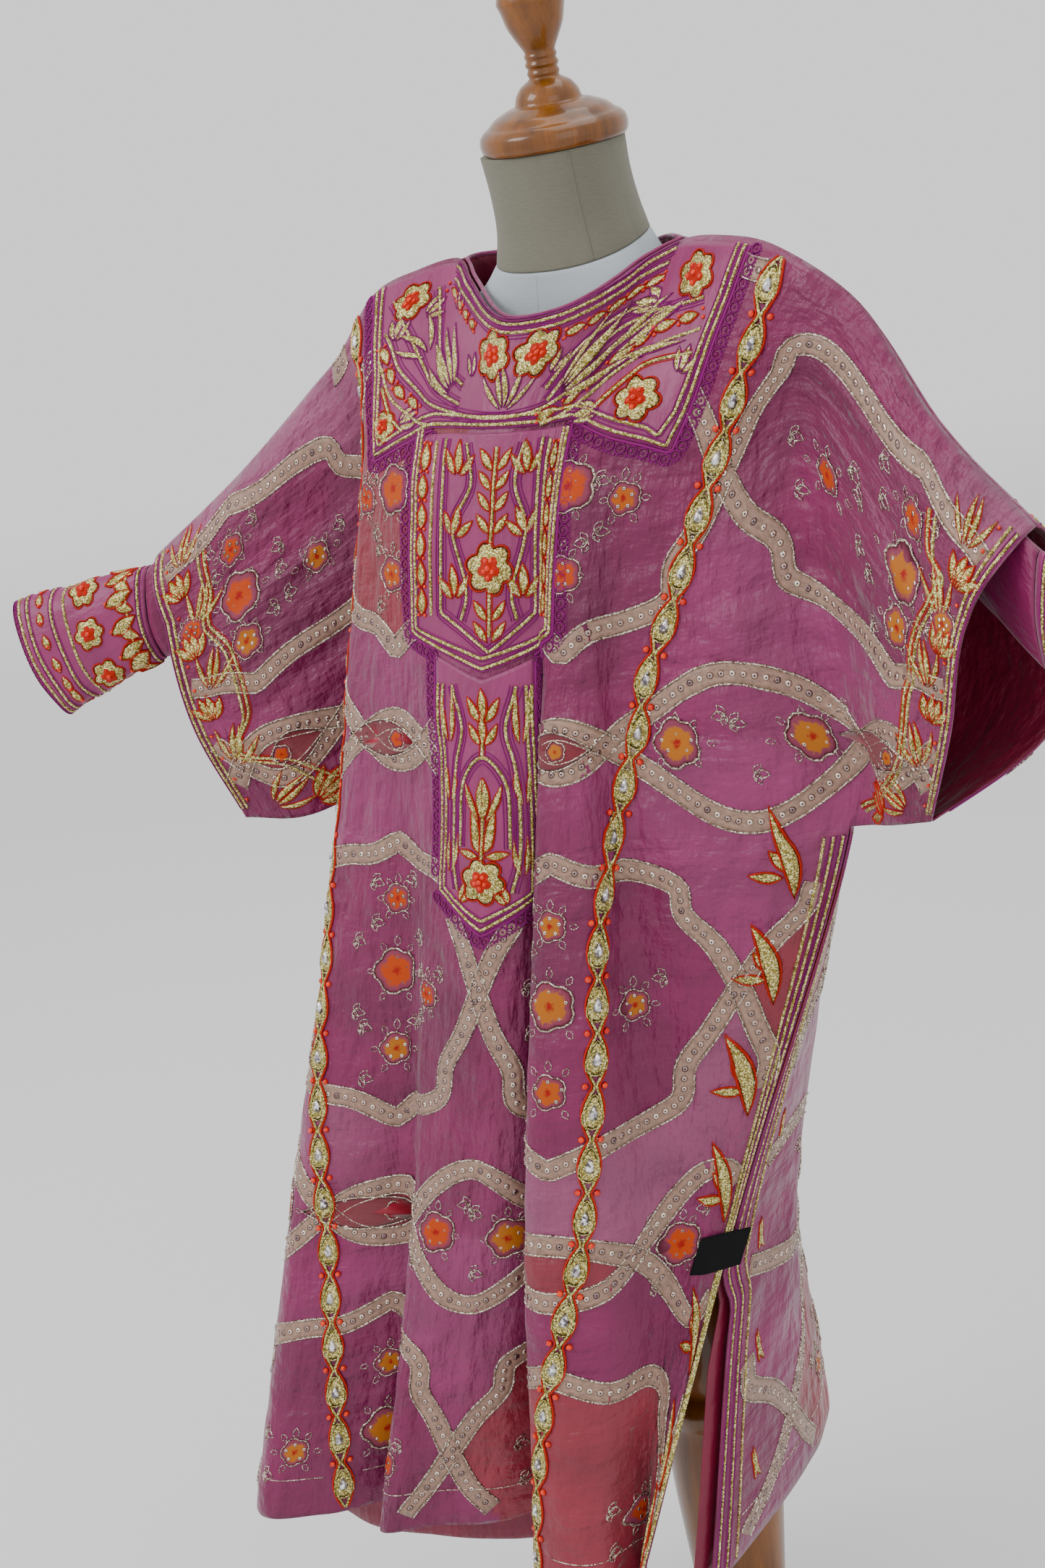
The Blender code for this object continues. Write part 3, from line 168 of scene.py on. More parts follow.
SlipLine = namedtuple("SlipLine", "name flat waist hip hem")
SLIP_FRONT = table(
    SlipLine,
    ("right seam", -0.285, (-0.192, -0.0518, -0.4), (-0.23, -0.064, -0.65), (-0.284, -0.09, -0.89)),
    ("right side", -0.23, (-0.178, -0.094, -0.4), (-0.234, -0.128, -0.65), (-0.286, -0.172, -0.926)),
    ("right front", -0.17, (-0.148, -0.124, -0.4), (-0.196, -0.154, -0.65), (-0.228, -0.19, -0.944)),
    ("middle right", -0.08, (-0.092, -0.13, -0.4), (-0.126, -0.146, -0.65), (-0.154, -0.178, -0.947)),
    ("middle", 0.0, (-0.034, -0.132, -0.4), (-0.066, -0.148, -0.65), (-0.098, -0.16, -0.945)),
    ("middle left", 0.08, (0.018, -0.118, -0.4), (-0.016, -0.126, -0.65), (-0.04, -0.128, -0.944)),
    ("left front", 0.16, (0.066, -0.102, -0.4), (0.052, -0.13, -0.65), (0.02, -0.16, -0.926)),
    ("left edge", 0.24, (0.14, -0.08, -0.4), (0.086, -0.114, -0.65), (0.05, -0.184, -0.89)),
)
SLIP_BACK_HEM = -0.894
SLIP_BEHIND = 0.0075
SLIP_SEWN = 0.0019
SLIP_PAST_EDGE = 0.012
SLIP_FROM_SEAM = 0.008
SLIP_SHORT_OF_EDGE = 0.004
SLIP_OPENS_OVER = 0.25

# Dress form: a row for each section, drops and half sizes; tilt lowers the front

FormSection = namedtuple("FormSection", "drop middle_y half_width front back tilt")
NECK_FORM = table(
    FormSection,
    (-0.0735, -0.012, 0.0475, 0.045, 0.045, 0.088), (-0.05, -0.008, 0.0465, 0.044, 0.044, 0.14),
    (-0.028, -0.004, 0.048, 0.045, 0.044, 0.2), (-0.008, -0.001, 0.053, 0.049, 0.0425, 0.26),
)
TORSO_FORM = table(
    FormSection,
    (-0.0074, -0.001, 0.053, 0.049, 0.0425, 0.26), (0.009, 0.001, 0.068, 0.052, 0.0365, 0.2),
    (0.03, 0.001, 0.093, 0.055, 0.042, 0.14), (0.058, 0.0, 0.108, 0.064, 0.054, 0.06),
    (0.098, 0.0, 0.118, 0.078, 0.068, 0.0), (0.15, 0.0, 0.119, 0.09, 0.081, 0.0),
    (0.22, 0.0, 0.112, 0.086, 0.078, 0.0), (0.3, 0.0, 0.102, 0.078, 0.072, 0.0),
    (0.38, 0.0, 0.102, 0.078, 0.066, 0.0), (0.45, 0.0, 0.1, 0.078, 0.06, 0.0),
    (0.5, 0.0, 0.096, 0.076, 0.056, 0.0),
)

# Turned wood: heights above the lowest face and radii

CAP_LEAN = radians(5.0)
CAP_DROP = -0.0742
CAP_MIDDLE = (0.003, -0.012)
CAP_PROFILE = (
    (0.0, 0.0475), (0.002, 0.0492), (0.0065, 0.05), (0.0115, 0.0492), (0.015, 0.046), (0.0165, 0.043),
    (0.0215, 0.038), (0.025, 0.03), (0.0265, 0.0262), (0.027, 0.0225), (0.033, 0.0212), (0.039, 0.017),
    (0.043, 0.0095), (0.046, 0.0112), (0.049, 0.0096), (0.0515, 0.0116), (0.0545, 0.0098), (0.057, 0.0112),
    (0.0595, 0.0098), (0.066, 0.0135), (0.076, 0.0188), (0.088, 0.0216), (0.0915, 0.0232), (0.095, 0.0226),
    (0.103, 0.0195), (0.11, 0.014), (0.115, 0.007), (0.116, 0.0),
)
BASE_PROFILE = (
    (0.0, 0.165), (0.012, 0.165), (0.018, 0.162), (0.022, 0.148), (0.025, 0.118), (0.031, 0.11),
    (0.036, 0.066), (0.038, 0.052),
)
COLUMN_PROFILE = (
    (0.0385, 0.044), (0.058, 0.046), (0.078, 0.04), (0.105, 0.034), (0.16, 0.038), (0.22, 0.043),
    (0.262, 0.045), (0.29, 0.042), (0.3, 0.046), (0.31, 0.049), (0.32, 0.046), (0.326, 0.041),
    (0.35, 0.043), (0.43, 0.039), (0.54, 0.03), (0.62, 0.025), (0.664, 0.03), (0.6897, 0.03),
)

# Narrow inner sleeves: a row for each section, the middle, half sizes and how far the top leads the bottom

ArmSection = namedtuple("ArmSection", "x y drop half_height half_depth slant")
INNER_SLEEVE = table(
    ArmSection,
    (0.262, -0.044, 0.1638, 0.034, 0.011, 0.0), (0.29, -0.056, 0.1838, 0.035, 0.013, 0.0),
    (0.325, -0.074, 0.2088, 0.036, 0.014, 0.0), (0.3625, -0.092, 0.2328, 0.037, 0.015, 0.0),
)
CUFF = table(
    ArmSection,
    (0.3633, -0.0924, 0.2332, 0.0371, 0.0151, 0.0), (0.41, -0.113, 0.2468, 0.0415, 0.017, 0.008),
    (0.458, -0.132, 0.2618, 0.046, 0.018, 0.018),
)
LEFT_ARM_RAISE = 0.018

# Places on the front cloth as (flat, level): outlines of what is sewn on

YOKE_RIGHT_EDGE = ((-0.193, 0.03), (-0.186, 0.334), (-0.176, 0.642), (-0.167, 0.875), (-0.1605, 1.0))
YOKE_LEFT_EDGE = ((0.231, 0.03), (0.226, 0.267), (0.217, 0.552), (0.207, 0.826), (0.198, 1.0))
YOKE_BOTTOM = (
    (-0.1605, 1.0), (-0.113, 0.909), (-0.069, 0.822), (-0.033, 0.8), (0.0, 0.785), (0.051, 0.79),
    (0.106, 0.796), (0.128, 0.834), (0.159, 0.916), (0.181, 0.957), (0.198, 1.0),
)
UPPER_RIGHT = -0.09
UPPER_LEFT = 0.108
UPPER_TIP = (0.0, 1.881)
UPPER_SHOULDER = 1.723
LOWER_RIGHT = -0.055
LOWER_LEFT = 0.06
LOWER_TIP = (0.003, 3.268)
LOWER_SHOULDER = 3.17
LEFT_CHAIN = (
    (0.2545, 0.03), (0.2524, 0.203), (0.253, 0.394), (0.2474, 0.646), (0.2411, 0.886), (0.231, 1.104),
    (0.2096, 1.521), (0.1895, 1.967), (0.1844, 2.365), (0.1731, 2.816), (0.1625, 3.04), (0.1543, 3.168),
    (0.1485, 3.28), (0.143, 3.568), (0.1395, 3.696), (0.1337, 3.969), (0.1288, 4.111), (0.1238, 4.274),
    (0.1181, 4.429), (0.114, 4.607), (0.1107, 4.762), (0.108, 4.985),
)
RIGHT_CHAIN = (
    (-0.215, 0.03), (-0.213, 0.4), (-0.208, 1.0), (-0.206, 2.0), (-0.2, 3.0), (-0.1797, 3.711),
    (-0.1616, 4.099), (-0.1526, 4.434), (-0.1443, 4.785), (-0.1395, 4.985),
)
CHAIN_UNIT = 0.037
CHAIN_NARROW = 0.0022
CHAIN_WIDE = 0.008
BINDING_INSIDE = 0.0034
BINDING_RAISE = 0.0004
BINDING_RADIUS = 0.0015
BINDING_SIDES = 12
LABEL_DROPS = (0.660, 0.685)
LABEL_THICK = 0.0009
LABEL_SIZE = (0.036, 0.035)
LABEL_REACHES = (0.024, 0.016, 0.008, 0.0)
LABEL_PAST = 0.012
LABEL_LIFTS = (0.0019, 0.0021, 0.0026, 0.0034)

UNDERARM_LEVEL = 3
HEM_LEVEL = 5
NECK_RIGHT = -0.105
NECK_LEFT = 0.17
SEAM_SIDE = 0.0022
SEAM_REACH = 0.08
SLIT_LEVEL = 4.16
SLIP_LONG = 0.55
CRINKLE_WAVES = ((93, 22, 0.0003), (151, -61, 0.00022), (47, 118, 0.00024), (-78, 139, 0.00018))
CREASE_FADE = 0.022
WALL_HALF = 0.0007
LINING_THICK = 0.001
CELL_TALL = 1.2
STRETCH = (0.6, 1.7)
TINT_SEED = 3

Crease = namedtuple("Crease", "flat drop lean length width height")
CREASES = table(
    Crease,
    (-0.262, 0.21, 24, 0.085, 0.01, 0.003), (-0.232, 0.27, 36, 0.07, 0.008, -0.0026),
    (-0.33, 0.15, 58, 0.06, 0.009, 0.0026), (-0.345, 0.26, 66, 0.065, 0.01, -0.0028),
    (0.275, 0.2, -22, 0.09, 0.011, 0.0032), (0.248, 0.27, -34, 0.075, 0.009, -0.0028),
    (0.335, 0.13, -56, 0.06, 0.01, 0.0028), (0.352, 0.22, -64, 0.07, 0.01, -0.0026),
    (0.32, 0.31, -48, 0.055, 0.008, 0.0024), (0.15, 0.25, -14, 0.08, 0.009, 0.0016),
    (0.19, 0.33, -26, 0.09, 0.008, -0.0018), (0.215, 0.43, -18, 0.1, 0.01, 0.0022),
    (0.228, 0.6, -8, 0.16, 0.01, 0.0024), (0.2, 0.76, -6, 0.12, 0.011, -0.0022),
    (-0.16, 0.3, 12, 0.08, 0.009, 0.0018), (-0.185, 0.47, 14, 0.11, 0.01, -0.0022),
    (-0.13, 0.62, 5, 0.15, 0.01, 0.002), (-0.235, 0.76, 9, 0.11, 0.01, 0.0024),
    (0.01, 0.72, 3, 0.13, 0.009, 0.0018), (-0.03, 0.83, -4, 0.07, 0.008, -0.0016),
    (0.12, 0.7, -3, 0.15, 0.007, 0.0014), (-0.1, 0.85, 6, 0.06, 0.008, 0.0016),
)


def smooth_line(knots, values, at):
    """Smooth curve through values at uneven knots, read at the places in at.

    The slope at a knot is the weighted mean of the spans beside it.
    """
    knots, values = np.asarray(knots, float), np.asarray(values, float)
    at = np.clip(np.asarray(at, float), knots[0], knots[-1])
    shape = (-1,) + (1,) * (values.ndim - 1)
    span = np.diff(knots)
    rise = np.diff(values, axis=0) / span.reshape(shape)
    weight = (span[1:] / (span[1:] + span[:-1])).reshape(shape)
    slope = np.concatenate([rise[:1], rise[:-1] * weight + rise[1:] * (1 - weight), rise[-1:]])
    k = np.clip(np.searchsorted(knots, at, side="right") - 1, 0, len(span) - 1)
    h = span[k].reshape(shape)
    u = ((at - knots[k]) / span[k]).reshape(shape)
    return ((2 * u**3 - 3 * u**2 + 1) * values[k] + (u**3 - 2 * u**2 + u) * h * slope[k]
            + (3 * u**2 - 2 * u**3) * values[k + 1] + (u**3 - u**2) * h * slope[k + 1])


def line_at(marks, knots, line):
    """A line of two columns, read straight between its points at the marks."""
    return np.stack([np.interp(marks, knots, line[:, k]) for k in (0, 1)], axis=1)


def run_of(places):
    """Length along a line up to each of its places."""
    return np.concatenate([[0], np.cumsum(np.linalg.norm(np.diff(places, axis=0), axis=1))])


def unit(vectors):
    """Vectors made one unit long."""
    return vectors / np.maximum(np.linalg.norm(vectors, axis=-1, keepdims=True), 1e-12)


def level_of(drop):
    """Level of the fold lines at a drop below the shoulder."""
    return np.interp(drop, LEVEL_DROPS, np.arange(6))


def drop_of(level):
    """Drop below the shoulder of a level of the fold lines."""
    return np.interp(level, np.arange(6), LEVEL_DROPS)


def as_levels(path):
    """Flats and drops turned into flats and levels."""
    path = np.asarray(path, float)
    return np.stack([path[..., 0], level_of(path[..., 1])], axis=-1)


def line_places(line):
    """Places of a line at the levels, as (x, y, z) rows; one without a z lies at its level's drop."""
    if isinstance(line, SleeveLine):
        return np.array(line[2:])
    return np.array([p if len(p) == 3 else (*p, -drop) for drop, p in zip(LEVEL_DROPS, line[2:])])


class Sheet:
    """One side of the garment: across it s is the flat distance from the middle, down it t is the level."""

    def __init__(self, right_sleeve, body, left_sleeve):
        self.flats = np.array([line.flat for line in right_sleeve + body + left_sleeve])
        self.body = slice(len(right_sleeve), len(right_sleeve) + len(body))
        self.places = [line_places(line) for line in right_sleeve + body + left_sleeve]
        self.side_right, self.side_left = body[0].flat, body[-1].flat

    def row(self, t, at):
        """Places across the sheet at one level t for the flat distances in at."""
        chosen = slice(None) if t <= UNDERARM_LEVEL else self.body
        points = [smooth_line(np.arange(len(line)), line, [t])[0] for line in self.places[chosen]]
        return smooth_line(self.flats[chosen], points, at)


FRONT = Sheet(FRONT_RIGHT_SLEEVE, FRONT_BODY, FRONT_LEFT_SLEEVE)
BACK = Sheet(BACK_RIGHT_SLEEVE, BACK_BODY, BACK_LEFT_SLEEVE)


def outside_of_neck(flats):
    """1 on the shoulders and sleeves, 0 along the neck opening."""
    return ((flats <= NECK_RIGHT + 1e-6) | (flats >= NECK_LEFT - 1e-6)).astype(float)


def rounding(flats, t):
    """How far the cloth leaves the shoulder line at once: its folded top is round, most on the sleeves."""
    amount = np.interp(np.abs(flats), (0.10, 0.16, 0.26, 0.44), (0.0, 0.008, 0.026, 0.034))
    return amount * np.sqrt(max(t, 0.0)) * max(0.0, 1 - t) ** 1.2 * outside_of_neck(flats)


def front_grid(flats, levels):
    """Front cloth as a grid of places."""
    grid = np.array([FRONT.row(t, flats) for t in levels])
    grid[..., 1] -= [rounding(flats, t) for t in levels]
    return grid


def back_grid(flats, levels):
    """Back cloth as a grid of places, pulled to the front at shoulders, side seams and sleeve bottoms."""
    grid = np.array([BACK.row(t, flats) for t in levels])
    top = (FRONT.row(0, flats) + (0, SEAM_GAP, 0) - BACK.row(0, flats)) * outside_of_neck(flats)[:, None]
    bottom = FRONT.row(UNDERARM_LEVEL, flats) + (0, SEAM_SIDE, 0) - BACK.row(UNDERARM_LEVEL, flats)
    near_right = (1 - np.clip((flats - BACK.side_right) / SEAM_REACH, 0, 1)) ** 2
    near_left = (1 - np.clip((BACK.side_left - flats) / SEAM_REACH, 0, 1)) ** 2
    for j, t in enumerate(levels):
        grid[j] += top * max(0.0, 1 - t / 0.8) ** 2
        grid[j, :, 1] += rounding(flats, t) * 0.8
        if t <= UNDERARM_LEVEL:
            pull = max(0.0, (t - UNDERARM_LEVEL + 0.8) / 0.8) ** 2
            grid[j] += bottom * (np.maximum(near_right, near_left) * pull)[:, None]
            continue
        closed = np.clip((SLIT_LEVEL - t) / 0.10 + 1, 0, 1)
        for side, near, sign in ((BACK.side_right, near_right, -1), (BACK.side_left, near_left, 1)):
            meet = FRONT.row(t, [side])[0] + (sign * 0.0006, SEAM_SIDE, 0) - BACK.row(t, [side])[0]
            grid[j] += meet * (near * closed)[:, None]
    return grid


def normals_of(grid, outward_y):
    """Unit normals of a grid, turned so that they point to the side that outward_y says."""
    normal = unit(np.cross(np.gradient(grid, axis=1), np.gradient(grid, axis=0)))
    return -normal if normal[..., 1].mean() * outward_y < 0 else normal


def spread(knots, shares):
    """Even steps between neighbouring knots: in each span as many as its share says, two or more."""
    out = [knots[:1]]
    for a, b, share in zip(knots[:-1], knots[1:], shares):
        out.append(np.linspace(a, b, max(2, round(share)) + 1)[1:])
    return np.concatenate(out)


def creased(flat, drop):
    """Height of the creases: a bell across its line times a bell along it, with small waves over all."""
    height = np.zeros(flat.shape)
    for row in CREASES:
        lean = radians(row.lean)
        x, y = flat - row.flat, drop - row.drop
        across, along = x * cos(lean) + y * sin(lean), -x * sin(lean) + y * cos(lean)
        height += row.height * np.exp(-((across / row.width) ** 2) - (along / row.length) ** 2)
    for a, b, size in CRINKLE_WAVES:
        height += size * np.sin(a * flat + b * drop + 3 * np.sin(9 * drop + 5 * flat))
    return height


class Panel:
    """The grid that a wall of cloth is made from, and from which what lies on the wall is read."""

    def __init__(self, flats, levels, grid, normal, tube=False):
        self.flats, self.levels, self.grid, self.normal, self.tube = flats, levels, grid, normal, tube
        upward = np.cross(normal, np.gradient(grid, axis=0))
        self.hand = float(np.sign((upward * np.gradient(grid, axis=1)).sum()))
        steps = (flats, 1), (levels if tube else drop_of(levels), 0)
        rates = [np.linalg.norm(np.gradient(grid, at, axis=k), axis=2) for at, k in steps]
        self.rates = np.clip(np.stack(rates, axis=2), *STRETCH)

    def read(self, fields, flat, level):
        """Values of fields at each pair of flat and level, straight between the grid's points."""
        found = []
        for knots, value in ((self.flats, flat), (self.levels, level)):
            value = np.clip(np.asarray(value, float), knots[0], knots[-1])
            k = np.clip(np.searchsorted(knots, value, side="right") - 1, 0, len(knots) - 2)
            found.append((k, ((value - knots[k]) / (knots[k + 1] - knots[k]))[..., None]))
        (i, u), (j, v) = found
        out = []
        for field in fields:
            top = field[j, i] * (1 - u) + field[j, i + 1] * u
            low = field[j + 1, i] * (1 - u) + field[j + 1, i + 1] * u
            out.append(top * (1 - v) + low * v)
        return out

    def at(self, flat, level):
        """Place and unit normal at each pair of flat and level."""
        place, normal = self.read((self.grid, self.normal), flat, level)
        return place, unit(normal)

    def laid(self, path):
        """A path of flats and levels as flats and lengths down the cloth."""
        return path if self.tube else np.stack([path[..., 0], drop_of(path[..., 1])], axis=-1)

    def stepped(self, flat, level, right, upward):
        """Flat and level so far to the right and up, seen from outside, where the cloth is stretched."""
        rates = self.read((self.rates,), flat, level)[0]
        right, upward = right * self.hand / rates[..., 0], upward / rates[..., 1]
        return flat + right, level - upward if self.tube else level_of(drop_of(level) - upward)

    def travel(self, path):
        """Steps along a path in metres across and down the cloth, and the stretch at its points."""
        rates = self.read((self.rates,), path[:, 0], path[:, 1])[0]
        return np.gradient(self.laid(path), axis=0) * rates, rates

    def heading(self, path):
        """Turn from upright of the direction of travel at each point of a path."""
        step = self.travel(path)[0]
        return np.arctan2(-step[:, 0] * self.hand, -step[:, 1])

    def beside(self, path, offsets):
        """Flats and levels of lines beside a path, at the offsets in metres on the cloth laid flat."""
        along, rates = self.travel(path)
        along = unit(along)
        side = np.stack([along[:, 1], -along[:, 0]], axis=1) * self.hand / rates
        spots = self.laid(path)[:, None] + side[:, None] * np.atleast_2d(offsets)[..., None]
        return spots[..., 0], spots[..., 1] if self.tube else level_of(spots[..., 1])

    def shifted(self, path, offset):
        """The line beside a path, at one offset."""
        return np.concatenate(self.beside(path, offset), axis=1)

    def even(self, path, step, smooth=True):
        """Points an even distance apart along a path, smooth or straight between its corners."""
        path = np.asarray(path, float)
        knots = np.arange(len(path))
        fine = np.linspace(0, len(path) - 1, max(40, 24 * len(path)))
        fine = smooth_line(knots, path, fine) if smooth else line_at(fine, knots, path)
        run = run_of(self.at(*fine.T)[0])
        return line_at(np.linspace(0, run[-1], max(3, int(round(run[-1] / step)) + 1)), run, fine)


def past_the_sleeves(flats, levels, grid):
    """Grid whose sleeves go on straight below their lowest line, where there is no cloth."""
    low = int(np.argmin(np.abs(levels - UNDERARM_LEVEL)))
    beyond = (flats < FRONT.side_right - 1e-9) | (flats > FRONT.side_left + 1e-9)
    step = grid[low, beyond] - grid[low - 1, beyond]
    grid = grid.copy()
    grid[low + 1:, beyond] = grid[low, beyond] + step * np.arange(1, len(levels) - low)[:, None, None]
    return grid


def wall_normals(flats, levels, grid, outward):
    """Normals of the wall: below the underarm the body's are worked out without the sleeves."""
    normal = normals_of(grid, outward)
    low = int(np.argmin(np.abs(levels - UNDERARM_LEVEL)))
    body = np.flatnonzero((flats > FRONT.side_right - 1e-9) & (flats < FRONT.side_left + 1e-9))
    normal[low + 1:, body] = normals_of(grid[low:, body], outward)[1:]
    return normal


def fine_panel(grid_of, outward, cell):
    """Panel with even small cells, its folds from the tables and its creases laid along the normals."""
    mouth, side_right, side_left = FRONT.flats[-1], FRONT.side_right, FRONT.side_left
    knots = np.array((-mouth, side_right, NECK_RIGHT, NECK_LEFT, side_left, mouth))
    flats = spread(knots, np.diff(knots) / cell)
    levels = spread(np.arange(6), np.diff(LEVEL_DROPS) / (cell * CELL_TALL))
    grid = past_the_sleeves(flats, levels, grid_of(flats, levels) + (0, 0, SHOULDER_HEIGHT))
    normal = wall_normals(flats, levels, grid, outward)
    s, t = np.meshgrid(flats, levels)
    v = drop_of(t)
    edge = np.minimum(np.abs(s - side_right), np.abs(s - side_left))
    edge = np.minimum(edge, np.minimum(v * 1.2, np.abs(np.abs(s) - mouth)))
    soft = np.clip(edge / CREASE_FADE, 0, 1) ** 2
    soft = soft * np.clip(np.abs(t - UNDERARM_LEVEL) / 0.12 + (np.abs(s) < side_left - 0.03), 0, 1)
    grid = past_the_sleeves(flats, levels, grid + normal * (creased(s, v) * soft + WALL_HALF)[..., None])
    return Panel(flats, levels, grid, wall_normals(flats, levels, grid, outward))


def grid_faces(rows, columns, around=False, flip=False, keep=None):
    """Four-cornered faces of a grid of points; around joins the last column to the first."""
    j, i = np.meshgrid(np.arange(rows - 1), np.arange(columns if around else columns - 1), indexing="ij")
    if keep is not None:
        j, i = j[keep], i[keep]
    j, i = j.ravel(), i.ravel()
    n = (i + 1) % columns
    below = (j + 1) * columns
    faces = np.stack([j * columns + i, j * columns + n, below + n, below + i], axis=1)
    return faces[:, ::-1] if flip else faces


def tube_faces(rows, columns, flip=False):
    """Faces of rings that are joined to a tube, and of its two ends."""
    k = np.arange(columns)[:: 1 if flip else -1]
    return [grid_faces(rows, columns, True, flip), k[None], (k[::-1] + (rows - 1) * columns)[None]]


def loop_faces(rows, columns):
    """Faces of rings that are joined to a tube whose two ends meet."""
    k, c = np.meshgrid(np.arange(rows), np.arange(columns), indexing="ij")
    here, past, d = k * columns, (k + 1) % rows * columns, (c + 1) % columns
    return np.stack([here + c, past + c, past + d, here + d], axis=2).reshape(-1, 4)


def marks_of(a, b):
    """Pairs of the values of two arrays, each spread over the other's side."""
    return np.stack(np.broadcast_arrays(a, b), axis=2)


Form = namedtuple("Form", "points faces flat")


def leaf_outline(width, count=6, belly=0.85, bend=0.0):
    """Outline of a leaf one unit long: a half sine on both sides of a line that bends with the square."""
    t = np.linspace(0, 1, count + 1)
    half = width / 2 * np.sin(pi * t**belly)
    left = np.stack([bend * t**2 - half, t], axis=1)[::-1]
    return np.concatenate([np.stack([bend * t**2 + half, t], axis=1), left[1:-1]])


def round_outline(count=10, lobes=0, depth=0.0):
    """Circle of radius one, or a flower of round petals: less depth times one minus a sine's size."""
    angle = 2 * pi * np.arange(count) / count
    radius = 1 - depth * (1 - np.abs(np.sin(lobes * angle / 2)))
    return np.stack([radius * np.cos(angle), radius * np.sin(angle)], axis=1)


def drop_outline(count):
    """Outline of a drop one unit long, its point up and its round end down, about its middle."""
    angle = 2 * pi * np.arange(count) / count - pi / 2
    y = 0.5 + 0.5 * np.sin(angle)
    return np.stack([0.405 * np.cos(angle) * (1 - 0.62 * y), y - 0.46], axis=1)


def dome_form(outline, height, inner=0.6, shoulder=0.8, rings=0, crisp=False):
    """Closed low dome: copies of the outline drawn in and raised to the middle, and a plain underside.

    With rings it is a wide dome: even rings, whose height is one minus the share's fourth power.
    A crisp one has a steep edge first.
    """
    n = len(outline)
    middle = outline.mean(axis=0)
    shares = np.linspace(1, 0, rings + 1)[:-1] if rings else np.array((1.0, inner))
    heights = height * (1 - shares**4) if rings else np.array((0.0, height * shoulder))
    if crisp:
        shares, heights = np.insert(shares, 1, 0.93), np.insert(heights, 1, height * 0.55)
    points = [np.column_stack([middle + (outline - middle) * a, np.full(n, b)])
              for a, b in zip(shares, heights)]
    points += [[[*middle, height]], [[*middle, min(0.0, height) - height * 0.1]]]
    k = np.arange(n)
    m = (k + 1) % n
    last, top = (len(shares) - 1) * n, len(shares) * n
    sides = [np.stack([k, m, m + n, k + n], axis=1) + j * n for j in range(len(shares) - 1)]
    fans = [np.stack([k + last, m + last, np.full(n, top)], axis=1),
            np.stack([m, k, np.full(n, top + 1)], axis=1)]
    flat = np.concatenate([np.repeat(shares, n), (0.0, 1.0)])
    return Form(np.concatenate(points), sides + fans, np.column_stack([flat, flat * 0]))


def rim_form(outline, half, height):
    """Closed thin cord round an outline: outer foot, crest and inner foot for each of its points."""
    n = len(outline)
    tangent = np.roll(outline, -1, axis=0) - np.roll(outline, 1, axis=0)
    out = unit(np.stack([tangent[:, 1], -tangent[:, 0]], axis=1)) * half
    rings = [np.column_stack([outline + out * a, np.full(n, b)])
             for a, b in ((1, 0.0), (0, height), (-1, 0.0))]
    flat = np.column_stack([np.repeat(run_of(outline), 3), np.tile((0, 0.5, 1), n)])
    return Form(np.stack(rings, axis=1).reshape(-1, 3), [loop_faces(n, 3)], flat)


CORD_RING = np.array(((-1.0, -0.1), (-0.66, 0.72), (0.0, 1.0), (0.66, 0.72), (1.0, -0.1), (0.0, -0.5)))
STITCH_RING = np.array(((-1.0, -0.1), (0.0, 1.0), (1.0, -0.1), (0.0, -0.6)))


